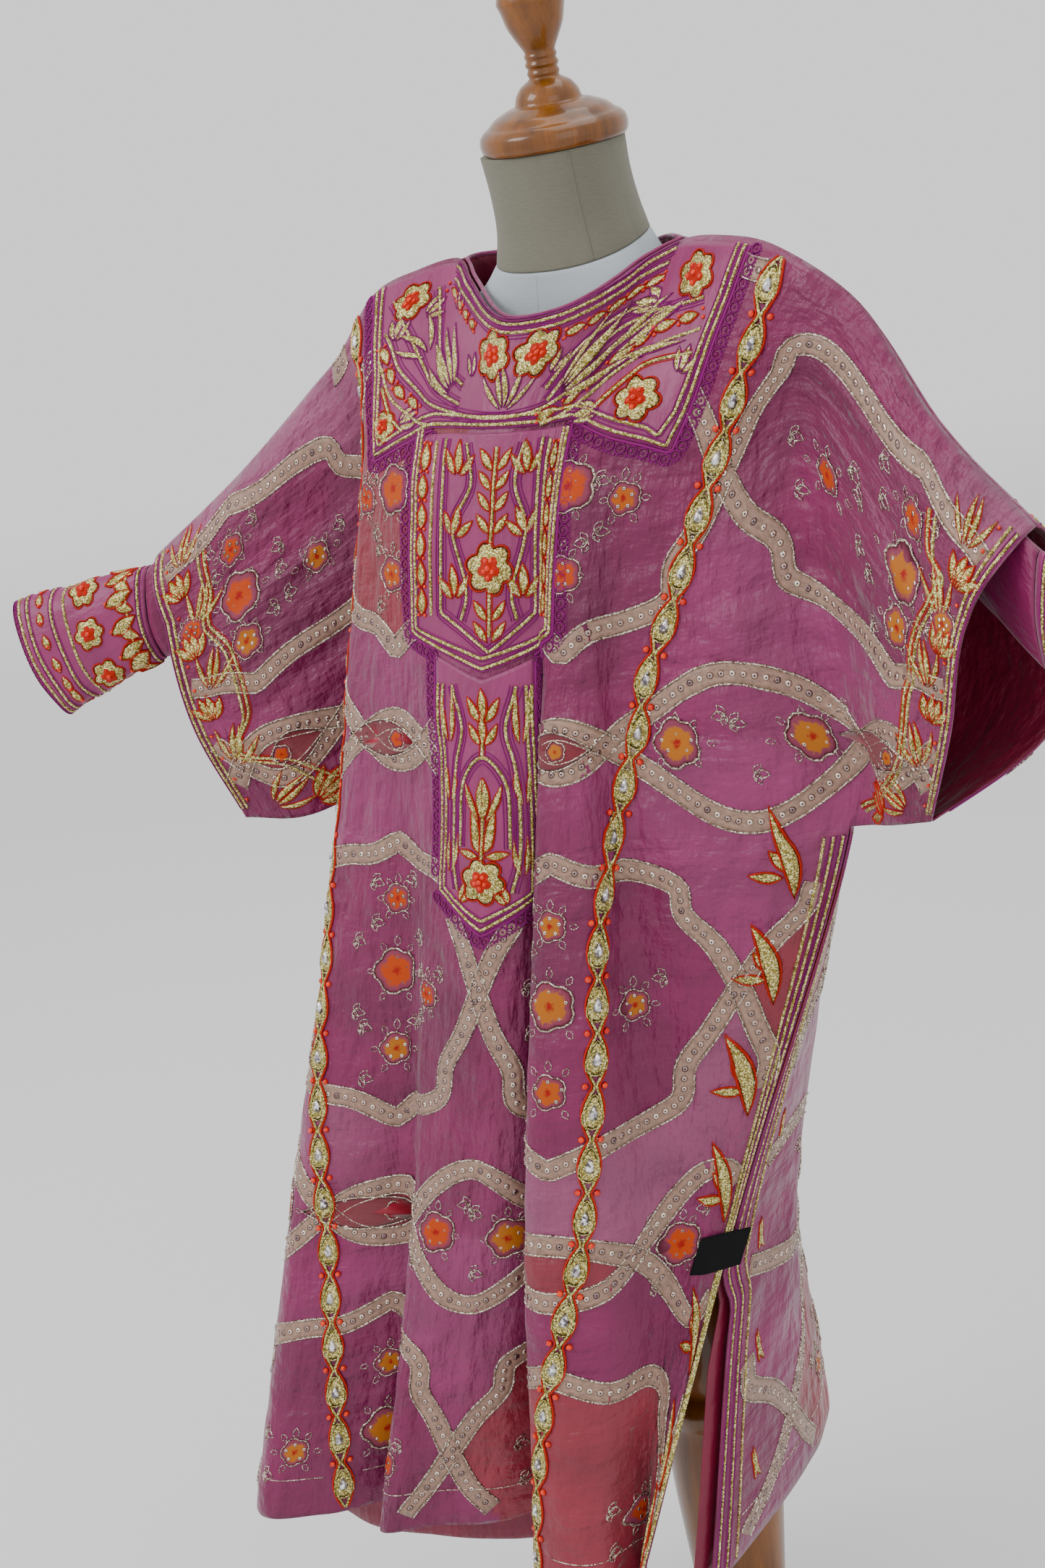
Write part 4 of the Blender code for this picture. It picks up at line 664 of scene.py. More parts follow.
class Stock:
    """Vertices, faces, flat places and tints of one piece, gathered from small parts on one cloth."""

    def __init__(self, cloth=None, lift=0.0):
        self.cloth, self.lift, self.count = cloth, lift, 0
        self.places, self.flat, self.tints, self.faces = [], [], [], []

    def add(self, places, faces, flat, slot=0, tint=0.5):
        """Adds a part: faces is a list of whole-number arrays, a row for each face."""
        places = np.asarray(places, float).reshape(-1, 3)
        self.places.append(places)
        self.flat.append(np.asarray(flat, float).reshape(-1, 2))
        self.tints.append(np.broadcast_to(tint, len(places)))
        self.faces += [(group + self.count, slot) for group in faces]
        self.count += len(places)

    def piece(self, name, *finishes):
        """The mesh object of all that was added."""
        corners = np.concatenate([g.ravel() for g, _ in self.faces])
        totals = np.concatenate([np.full(len(g), g.shape[1]) for g, _ in self.faces])
        mesh = bpy.data.meshes.new(name)
        mesh.vertices.add(self.count)
        mesh.vertices.foreach_set("co", np.concatenate(self.places).ravel())
        mesh.loops.add(len(corners))
        mesh.loops.foreach_set("vertex_index", corners)
        mesh.polygons.add(len(totals))
        mesh.polygons.foreach_set("loop_start", np.concatenate([[0], np.cumsum(totals)[:-1]]))
        slots = [np.full(len(g), slot) for g, slot in self.faces]
        mesh.polygons.foreach_set("material_index", np.concatenate(slots))
        mesh.update(calc_edges=True)
        mesh.polygons.foreach_set("use_smooth", np.full(len(totals), True))
        mesh.uv_layers.new(name="flat").data.foreach_set("uv", np.concatenate(self.flat)[corners].ravel())
        tint = mesh.attributes.new("tint", "FLOAT", "POINT")
        tint.data.foreach_set("value", np.concatenate(self.tints))
        for finish in finishes:
            mesh.materials.append(finish_named(finish))
        thing = bpy.data.objects.new(name, mesh)
        bpy.context.scene.collection.objects.link(thing)
        return thing

    def stamp(self, places, turns, sizes, form, slot=0, lift=0.0):
        """A copy of a form at each place, turned from upright and sized; heights are along the normal."""
        places = np.asarray(places, float).reshape(-1, 2)
        n, count = len(places), len(form.points)
        if n == 0:
            return
        turns, sizes = (np.broadcast_to(v, n)[:, None] for v in (turns, sizes))
        x, y, z = form.points.T
        across = (x * np.cos(turns) - y * np.sin(turns)) * sizes
        upward = (x * np.sin(turns) + y * np.cos(turns)) * sizes
        spot, out = self.cloth.at(*self.cloth.stepped(places[:, :1], places[:, 1:], across, upward))
        starts = (np.arange(n) * count)[:, None, None]
        faces = [(group[None] + starts).reshape(-1, group.shape[1]) for group in form.faces]
        tint = np.repeat(np.random.default_rng(TINT_SEED).random(n), count)
        spot = spot + out * (self.lift + lift + z * sizes)[..., None]
        self.add(spot, faces, np.tile(form.flat, (n, 1, 1)), slot, tint)

    def stamps(self, places, turns, sizes, rows):
        """Several forms at the same places: rows of a share of the size, a form, a slot and a lift."""
        for share, form, slot, lift in rows:
            self.stamp(places, turns, np.multiply(sizes, share), form, slot, lift)

    def strand(self, path, half, height, slot=0, lift=0.0, ring=CORD_RING):
        """Closed cord on the cloth: the ring's profile, times half and height, carried along the path."""
        place, normal = self.cloth.at(*path.T)
        side = unit(np.cross(normal, unit(np.gradient(place, axis=0))))
        spots = (place[:, None] + side[:, None] * (ring[None, :, :1] * half)
                 + normal[:, None] * (self.lift + lift + ring[None, :, 1:] * height))
        marks = marks_of(run_of(place)[:, None], np.linspace(0, 1, len(ring))[None])
        self.add(spots, tube_faces(len(path), len(ring), True), marks, slot)

    def tape(self, path, half, height, columns=5):
        """Closed flat strip that follows the cloth across its width, with its two edges turned under."""
        offsets = np.linspace(-half, half, columns)
        place, normal = self.cloth.at(*self.cloth.beside(path, offsets))
        ends = [-1, 0]
        ring = np.concatenate([place + normal * height, place[:, ends] - normal[:, ends] * height], axis=1)
        marks = marks_of(run_of(place[:, columns // 2])[:, None], np.append(offsets, offsets[ends])[None])
        self.add(ring, tube_faces(len(ring), columns + 2, True), marks)


def thicken(thing, thickness, offset=-1.0, inside=0):
    """Gives a piece its thickness behind its face, with the finish of its inside."""
    shell = thing.modifiers.new("thickness", "SOLIDIFY")
    shell.thickness, shell.offset, shell.material_offset = thickness, offset, inside
    return thing


def stretches(path, wanted):
    """The parts of a path whose points are all wanted, those of three points or more."""
    cuts = np.flatnonzero(np.diff(np.concatenate([[0], wanted.astype(int), [0]])))
    return [path[a:b] for a, b in zip(cuts[::2], cuts[1::2]) if b - a >= 3]


# Finishes

DEEPENED = 1.2
FLOOR_FADE = (3.0, 7.0)
BACKDROP = (1.12, 1.12, 1.12)
BLACK = (0.0, 0.0, 0.0)
SOCKETS = {
    "roughness": "Roughness", "metallic": "Metallic", "specular": "Specular IOR Level",
    "sheen": "Sheen Weight", "sheen_rough": "Sheen Roughness",
    "coat": "Coat Weight", "coat_rough": "Coat Roughness",
}


def tone(red, green, blue):
    """Colour from screen values of 0 to 255, deepened because the studio's soft light pales it."""
    value = np.array((red, green, blue)) / 255
    plain = np.where(value <= 0.04045, value / 12.92, ((value + 0.055) / 1.055) ** 2.4)
    return tuple(plain**DEEPENED)


def times(colour, share):
    """A colour with its values multiplied."""
    return tuple(share * np.array(colour))


class Finish:
    """A node material: one principled shader, and short calls that add the nodes before it."""

    def __init__(self, name, **values):
        self.material = bpy.data.materials.new(name)
        self.material.use_nodes = True
        self.tree = self.material.node_tree
        self.shader = self.tree.nodes["Principled BSDF"]
        for word, value in values.items():
            self.shader.inputs[SOCKETS[word]].default_value = value

    def put(self, socket, value):
        """Links a node's value to a socket, or sets the socket."""
        if isinstance(value, bpy.types.NodeSocket):
            self.tree.links.new(value, socket)
        else:
            socket.default_value = (*value, 1.0) if socket.type == "RGBA" else value

    def node(self, kind, inputs, **settings):
        """A node with its settings, and its inputs linked or set."""
        made = self.tree.nodes.new(kind)
        for key, value in settings.items():
            setattr(made, key, value)
        for key, value in inputs.items():
            self.put(made.inputs[key], value)
        return made

    def spots(self, scale=(1, 1, 1), solid=False, turn=0.0):
        """Coordinates of the piece's own map, or of the object when solid, times a scale."""
        source = self.node("ShaderNodeTexCoord", {}).outputs["Object" if solid else "UV"]
        inputs = {"Vector": source, "Scale": scale, "Rotation": (0, 0, turn)}
        return self.node("ShaderNodeMapping", inputs).outputs[0]

    def noise(self, rate, detail=3.0, **spots):
        """Cloudy values from 0 to 1."""
        inputs = {"Vector": self.spots(**spots), "Scale": rate, "Detail": detail}
        return self.node("ShaderNodeTexNoise", inputs).outputs[0]

    def grains(self, rate):
        """A steady value for each small cell, and the distance from the cell's middle."""
        made = self.node("ShaderNodeTexVoronoi", {"Vector": self.spots(solid=True), "Scale": rate})
        cell = self.node("ShaderNodeSeparateColor", {0: made.outputs["Color"]}).outputs[0]
        return cell, made.outputs["Distance"]

    def waves(self, rate, **spots):
        """Even ridges across the first coordinate."""
        return self.node("ShaderNodeTexWave", {"Vector": self.spots(**spots), "Scale": rate}).outputs["Fac"]

    def across(self):
        """The first coordinate of the piece's own map."""
        return self.node("ShaderNodeSeparateXYZ", {0: self.spots()}).outputs[0]

    def maths(self, work, a, b=0.5):
        """One sum on two values."""
        return self.node("ShaderNodeMath", {0: a, 1: b}, operation=work).outputs[0]

    def ramp(self, value, *stops):
        """Colour that follows a value through the stops, each a place and a colour or grey."""
        made = self.node("ShaderNodeValToRGB", {0: value})
        ramp = made.color_ramp
        while len(ramp.elements) < len(stops):
            ramp.elements.new(0.5)
        for element, (place, colour) in zip(ramp.elements, stops):
            element.position = place
            element.color = (*(colour if hasattr(colour, "__len__") else (colour,) * 3), 1.0)
        return made.outputs["Color"]

    def mixed(self, share, a, b, way="MIX"):
        """Two colours mixed."""
        made = self.node("ShaderNodeMix", {}, data_type="RGBA", blend_type=way)
        for place, value in ((0, share), (6, a), (7, b)):
            self.put(made.inputs[place], value)
        return made.outputs[2]

    def own(self, name, field="Color"):
        """An attribute of the mesh."""
        return self.node("ShaderNodeAttribute", {}, attribute_name=name).outputs[field]

    def wire(self, socket, value):
        """Links or sets one of the shader's sockets."""
        self.put(self.shader.inputs[socket], value)

    def bump(self, height, strength, depth):
        """Relief of the surface; a second call adds to the first."""
        made = self.node("ShaderNodeBump", {"Height": height, "Strength": strength, "Distance": depth})
        before = self.shader.inputs["Normal"].links
        if before:
            self.tree.links.new(before[0].from_socket, made.inputs["Normal"])
        self.wire("Normal", made.outputs[0])

    def colour(self, value, *shades):
        """Sets the base colour: a value, multiplied by each of the shades."""
        for shade in shades:
            value = self.mixed(1.0, value, shade, "MULTIPLY")
        self.wire("Base Color", value)


def silk_print(name, c):
    """Printed silk: the ground from the mesh, slubs along the weft, soft crinkles and a low sheen."""
    f = Finish(name, sheen=0.25, sheen_rough=0.35, specular=0.45)
    f.colour(f.own("ground"), f.ramp(f.noise(16, 4), (0.28, 0.70), (0.72, 1.12)),
             f.ramp(f.noise(60, 2, scale=(1.6, 22, 1)), (0.3, 0.93), (0.7, 1.05)))
    f.wire("Roughness", f.ramp(f.noise(40, 3), (0.3, 0.34), (0.7, 0.52)))
    f.bump(f.noise(60, 6, scale=(1.6, 0.6, 1), turn=0.3), 1.0, 0.0060)
    f.bump(f.noise(18, 4, scale=(0.8, 1.7, 1), turn=0.7), 1.0, 0.0120)
    f.bump(f.noise(1100, 2, scale=(1, 0.12, 1)), 0.16, 0.0003)
    return f


def silk_plain(name, colour, depth=0.0040):
    """Plain silk with crinkles and a fine weave in one softly clouded colour."""
    f = Finish(name, roughness=0.44, sheen=0.25, sheen_rough=0.35, specular=0.45)
    f.colour(colour, f.ramp(f.noise(22, 4), (0.25, 0.80), (0.75, 1.12)))
    f.bump(f.noise(70, 6, scale=(1.6, 0.7, 1), turn=0.4), 0.8, depth)
    f.bump(f.noise(1100, 2, scale=(1, 0.12, 1)), 0.16, 0.0003)
    return f


def band_silk(name, c):
    """Raised band of the print: crumpled taupe weave, with painted shade in the crumples' hollows and
    painted highlights on their tops.
    """
    f = Finish(name, roughness=0.46, sheen=0.2)
    crumple_and_shade = f.noise(210, 4, scale=(1, 1.8, 1))
    # Painted shade and highlight: the colour follows the crumples' relief, darker in the hollows and paler
    # on the tops.
    f.colour(f.ramp(crumple_and_shade, (0.30, times(c.taupe, 0.62)), (0.52, c.taupe), (0.78, times(c.taupe, 1.35))))
    f.bump(crumple_and_shade, 0.6, 0.0007)
    return f


def glitter(name, dark, middle, bright, metallic=0.75):
    """Metal thread: tiny cells with their own roughness, each painted from a dark shade to a bright colour
    as painted glints.
    """
    f = Finish(name, metallic=metallic)
    cell, edge = f.grains(1350)
    # Painted shade and glints: the cells' colours run from dark to near white.
    f.colour(f.ramp(cell, (0.10, dark), (0.55, middle), (0.92, bright)))
    f.wire("Roughness", f.ramp(cell, (0.0, 0.22), (1.0, 0.5)))
    f.bump(edge, 0.55, 0.0004)
    return f


def thread(name, bright, share):
    """Twisted silk thread: slanted ridges along its run, with painted shade between them."""
    f = Finish(name, specular=0.25)
    ridge = f.waves(1500, scale=(1, 0.0022, 1), turn=0.6)
    # Painted shade: the colour follows the ridges, darker by the share between them.
    f.colour(f.ramp(ridge, (0.1, times(bright, share)), (0.8, bright)))
    f.bump(ridge, 0.6, 0.0004)
    return f


def flower_silk(name, c):
    """Round flower of the print: a red heart, petals from orange to amber and a mauve rim."""
    f = Finish(name, roughness=0.6, specular=0.2)
    rough = f.maths("ADD", f.across(), f.maths("MULTIPLY", f.noise(420, 3, solid=True), 0.5))
    petals = f.mixed(f.ramp(f.own("tint", "Fac"), (0.40, 0.0), (0.60, 1.0)), c.orange, c.amber)
    inner = f.mixed(f.ramp(rough, (0.34, 0.0), (0.50, 1.0)), c.heart, petals)
    f.colour(f.mixed(f.ramp(rough, (0.88, 0.0), (1.04, 1.0)), inner, c.flower_rim))
    f.bump(f.noise(300, 3, solid=True), 0.4, 0.0005)
    return f


def sequin(name, c):
    """Cupped silver disc with a hole in its middle."""
    f = Finish(name, roughness=0.16, metallic=0.95)
    hue = f.ramp(f.own("tint", "Fac"), (0.0, tone(150, 130, 130)), (0.5, tone(206, 186, 176)),
                 (1.0, tone(236, 224, 210)))
    f.colour(f.mixed(f.ramp(f.across(), (0.22, 0.0), (0.30, 1.0)), tone(70, 40, 50), hue))
    return f


def glass(name, colour, pale, metallic=0.0):
    """Faceted glass with a foil back, its facets painted paler as painted highlights."""
    f = Finish(name, roughness=0.16, metallic=metallic, coat=0.25, coat_rough=0.04, specular=0.3)
    # Painted highlights: small cells run from the glass's colour to the pale one, as lit facets.
    f.colour(f.ramp(f.grains(420)[0], (0.1, colour), (0.9, pale)))
    return f


def woven(name, colour, scale, contrast, roughness=0.9, tall=1.0):
    """Plain woven or knitted cover: two sets of threads over and under each other, with painted shade where
    they dip.
    """
    f = Finish(name, roughness=roughness, sheen=0.15)
    weave = f.maths("MULTIPLY", f.waves(scale), f.waves(scale * tall, turn=pi / 2))
    slub = f.noise(160, 4, scale=(1, 6, 1))
    weave_shade = f.maths("ADD", f.maths("MULTIPLY", weave), f.maths("MULTIPLY", slub))
    # Painted shade: the colour follows the relief of weave and slubs, darker by the contrast where they
    # dip; the slow cloud after it is tone.
    f.colour(colour, f.ramp(weave_shade, (0.2, 1 - contrast), (0.8, 1.05)),
             f.ramp(f.noise(9, 4), (0.3, 0.90), (0.7, 1.04)))
    f.bump(weave, 0.35, 0.0004)
    f.bump(slub, 0.3, 0.0004)
    return f


def honey_wood(name, c):
    """Turned beech under honey varnish: long grain, darker rings and small pores."""
    f = Finish(name, roughness=0.34, coat=0.5, coat_rough=0.06, specular=0.3)
    grain = f.noise(26, 6, scale=(3.2, 3.2, 0.35), solid=True)
    fleck = f.noise(260, 2, scale=(3, 3, 0.25), solid=True)
    rings = f.ramp(grain, (0.28, times(c.wood, 0.50)), (0.50, c.wood), (0.74, times(c.wood, 1.5)))
    f.colour(f.mixed(f.ramp(fleck, (0.56, 0.0), (0.70, 0.35)), rings, times(c.wood, 0.28)))
    f.bump(grain, 0.05, 0.0004)
    return f


def label_weave(name, c):
    """Black woven tab, with painted shade between its ribs."""
    f = Finish(name, roughness=0.7, specular=0.15)
    rib = f.waves(900, turn=pi / 2)
    # Painted shade: the colour follows the ribs, darker between them.
    f.colour(f.ramp(rib, (0.2, tone(10, 10, 12)), (0.9, tone(26, 26, 30))))
    f.bump(rib, 0.4, 0.0003)
    return f


def studio_floor(name, c):
    """Pale matt floor that glows as the backdrop does far out, so that no horizon shows."""
    f = Finish(name, roughness=0.95, specular=0.0)
    spot = f.node("ShaderNodeTexCoord", {}).outputs["Object"]
    far = f.node("ShaderNodeVectorMath", {0: spot}, operation="LENGTH").outputs["Value"]
    reach = {"Value": far, "From Min": FLOOR_FADE[0], "From Max": FLOOR_FADE[1]}
    share = f.node("ShaderNodeMapRange", reach, interpolation_type="SMOOTHSTEP").outputs[0]
    near = f.ramp(f.noise(0.6, 2, solid=True), (0.3, tone(226, 226, 226)), (0.7, tone(229, 229, 229)))
    f.colour(f.mixed(share, near, BLACK))
    f.wire("Emission Color", BACKDROP)
    f.wire("Emission Strength", share)
    return f


FINISH_MAKERS = {
    "silk_print": silk_print,
    "silk_lining": lambda name, c: silk_plain(name, c.lining),
    "silk_ground": lambda name, c: silk_plain(name, c.orchid, 0.0022),
    "silk_rose": lambda name, c: silk_plain(name, c.rose),
    "silk_magenta": lambda name, c: silk_plain(name, c.magenta),
    "band_silk": band_silk,
    # Gold and silver thread: their darkest and brightest colours are painted shade and painted glints.
    "gold": lambda name, c: glitter(name, times(c.gold, 0.35), c.gold, tone(250, 244, 190), 0.5),
    "silver": lambda name, c: glitter(name, tone(110, 84, 80), tone(176, 158, 140), tone(252, 246, 232)),
    # The last number is how dark the painted shade between the thread's ridges is.
    "piping": lambda name, c: thread(name, c.piping, 0.75),
    "purple_thread": lambda name, c: thread(name, c.lace, 0.7),
    "flower_silk": flower_silk,
    "sequin": sequin,
    # The second colour of each glass is its painted highlights.
    "orange_glass": lambda name, c: glass(name, c.bead, tone(232, 74, 6)),
    "clear_glass": lambda name, c: glass(name, tone(110, 100, 108), tone(250, 248, 250), 0.6),
    # The third number is how dark the painted shade of the weave is.
    "linen": lambda name, c: woven(name, c.linen, 620, 0.30),
    "jersey": lambda name, c: woven(name, c.jersey, 520, 0.14, 0.85, 1.6),
    "honey_wood": honey_wood,
    "label_weave": label_weave,
    "studio_floor": studio_floor,
}
FINISHES = {}


def finish_named(name):
    """The material of that name, made the first time that it is asked for."""
    if name not in FINISHES:
        FINISHES[name] = FINISH_MAKERS[name](name, bpy.context.scene.thobe_colours).material
    return FINISHES[name]


# The print: cartouches that touch side by side, with pairs of waves that cross between their rows

PRINT_ACROSS = 0.24
PRINT_DOWN = 0.35
PRINT_TOUCH = 0.4876
PRINT_ROWS = (-1, 0, 1)
PRINT_COLUMNS = (-3, -2, -1, 0, 1, 2)
EYE_HEIGHT = 0.036
EYE_BIAS = 0.45
BAND_HALF = 0.0072
BAND_RAISE = 0.00022
BAND_FROM_EDGE = 0.0125
BAND_STEP = 0.005
BAND_STITCH = (0.0009, 0.0010)
HEM_STITCHED = 0.030
HEM_STITCH = (0.0005, 0.0006)
SEQUIN_STEP = 0.0074
SEQUIN_RADIUS = 0.0025
ALMOND_LONG = 0.062
ALMOND_BLOOM = 0.0075

Corner = namedtuple("Corner", "across along")
CARTOUCHE = table(
    Corner,
    (0.12, 0.0), (0.103, 0.03), (0.086, 0.052), (0.082, 0.074), (0.056, 0.086), (0.026, 0.09), (0.0, 0.104),
)
Bloom = namedtuple("Bloom", "across down radius")
CARTOUCHE_BLOOMS = table(
    Bloom,
    (0.0, -0.054, 0.0115), (0.0, 0.0, 0.018), (0.0, 0.054, 0.013), (0.052, 0.01, 0.0115),
    (-0.052, 0.01, 0.0115),
)
EYE_BLOOMS = table(
    Bloom,
    (0.034, 0.0, 0.0165), (-0.034, 0.0, 0.0165),
)
Sprig = namedtuple("Sprig", "turn reach size")
LEAVES_ROUND = table(
    Sprig,
    (0.0, 1.0, 0.008), (0.6, 0.95, 0.007), (-0.6, 0.95, 0.007), (2.6, 1.0, 0.007), (-2.6, 1.0, 0.007),
    (1.6, 1.0, 0.0065), (-1.6, 1.0, 0.0065),
)
SPRIGS = ((1.9, -1.5), (-1.9, 1.6), (-2.1, -1.2))
BLOOM = round_outline(20, 5, 0.16)
ALMOND = leaf_outline(0.40, 12, 1.0)
SEQUIN_FORM = dome_form(round_outline(8), 0.28, 0.5, 0.35)
LEAF_FORM = dome_form(leaf_outline(0.42), 0.09, crisp=True)
LEAF_RIM = rim_form(leaf_outline(0.50), 0.045, 0.085)
SMALL_LEAF_RIM = rim_form(leaf_outline(0.62, 4), 0.060, 0.06)


def cartouche_edge():
    """Closed outline of a cartouche about its middle, from one quarter mirrored twice."""
    knots = np.arange(len(CARTOUCHE))
    quarter = smooth_line(knots, CARTOUCHE, np.linspace(0, knots[-1], 8 * knots[-1] + 1))
    half = np.concatenate([quarter, (quarter * (-1, 1))[::-1][1:]])
    return np.concatenate([half, (half * (1, -1))[::-1][1:-1], half[:1]])


def eye_half(across):
    """Half height of the gap between two waves: a cosine, biased so that the middle eye is the larger."""
    return EYE_HEIGHT * (np.cos(2 * pi * across / PRINT_ACROSS) + EYE_BIAS)


def band_paths():
    """Centre lines of the bands as flats and drops."""
    paths = []
    flat = np.arange(-0.44, 0.4401, 0.005)
    for row in PRINT_ROWS:
        for column in PRINT_COLUMNS:
            paths.append(cartouche_edge() + ((column + 0.5) * PRINT_ACROSS, PRINT_TOUCH + row * PRINT_DOWN))
        for side in (-1, 1):
            drop = PRINT_TOUCH + (row - 0.5) * PRINT_DOWN + side * eye_half(flat)
            paths.append(np.stack([flat, drop], axis=1))
    return paths


def on_cloth(path, margin):
    """True where a point lies on the cloth: above the underarm, or between the side seams."""
    flat, drop = path[:, 0], path[:, 1]
    sleeve = (drop < LEVEL_DROPS[UNDERARM_LEVEL] - margin) & (np.abs(flat) < FRONT.flats[-1] - margin)
    body = (flat > FRONT.side_right + margin) & (flat < FRONT.side_left - margin)
    return (drop > margin) & (drop < HEM_DROP - margin) & (sleeve | body)


def covered(path, margin, chains=True):
    """True where the yoke, a placket or, with chains, a chain lies over a point of the front."""
    flat, drop = path[:, 0], path[:, 1]
    level = level_of(drop)
    bottom, right, left = np.array(YOKE_BOTTOM), np.array(YOKE_RIGHT_EDGE), np.array(YOKE_LEFT_EDGE)
    over = drop < np.interp(flat, bottom[:, 0], drop_of(bottom[:, 1])) + margin
    over &= flat > np.interp(level, right[:, 1], right[:, 0]) - margin
    over &= flat < np.interp(level, left[:, 1], left[:, 0]) + margin
    for side_right, side_left, tip, top, rise in ((UPPER_RIGHT, UPPER_LEFT, UPPER_TIP, 0.09, 0.004),
                                                  (LOWER_RIGHT, LOWER_LEFT, LOWER_TIP, 0.20, 0.006)):
        between = (flat > side_right - margin) & (flat < side_left + margin)
        over |= between & (drop < drop_of(tip[1]) - rise + margin) & (drop > top)
    for chain in (np.array(LEFT_CHAIN), np.array(RIGHT_CHAIN)) if chains else ():
        over |= np.abs(flat - np.interp(level, chain[:, 1], chain[:, 0])) < 0.006 + margin
    return over


def nothing_hidden(path, margin, chains=True):
    """On the back nothing lies over the print."""
    return np.zeros(len(path), bool)


def ground_colours(flat, drop, c):
    """Colour of the silk: by cartouche, by the eyes between the waves, softly changing in the strips."""
    magenta, orchid, coral, mauve = (np.array(part) for part in (c.magenta, c.orchid, c.coral, c.mauve))
    column = np.floor(flat / PRINT_ACROSS).astype(int)
    row = np.round((drop - PRINT_TOUCH) / PRINT_DOWN).astype(int)
    across = np.abs(flat - (column + 0.5) * PRINT_ACROSS)
    along = np.abs(drop - PRINT_TOUCH - row * PRINT_DOWN)
    quarter = np.array(CARTOUCHE)[::-1]
    inside = along < np.interp(across, quarter[:, 0], quarter[:, 1])
    half_row = np.floor((drop - PRINT_TOUCH) / PRINT_DOWN)
    wave = PRINT_TOUCH + (half_row + 0.5) * PRINT_DOWN
    between = np.abs(drop - wave) < np.abs(eye_half(flat))
    strip = half_row * 2 + (drop > wave)
    share = 0.5 + 0.5 * np.sin(2 * pi * flat / 0.41 + 2.1 * strip + 1.2 * np.sin(9 * drop))
    share = (share**2 * (3 - 2 * share))[:, None]
    colour = magenta * (1 - share) + np.where(strip[:, None] % 3 == 0, mauve, orchid) * share
    wide = between & (eye_half(flat) > 0)
    colour[between] = coral
    colour[wide] = (orchid * share + magenta * (1 - share))[wide]
    colour[inside] = magenta * (0.86 + 0.14 * share[inside])
    colour[inside & ((column + row) % 3 == 1)] = coral
    return colour


def bloom_places():
    """Places and radii of the round flowers of every repeat."""
    out = []
    for row in PRINT_ROWS:
        for column in PRINT_COLUMNS:
            for blooms, right, low in ((CARTOUCHE_BLOOMS, 0.5, 0.0), (EYE_BLOOMS, 0.0, 0.5)):
                flat = (column + right) * PRINT_ACROSS
                drop = PRINT_TOUCH + (row + low) * PRINT_DOWN
                out += [(flat + b.across, drop + b.down, b.radius) for b in blooms]
    return np.array(out)


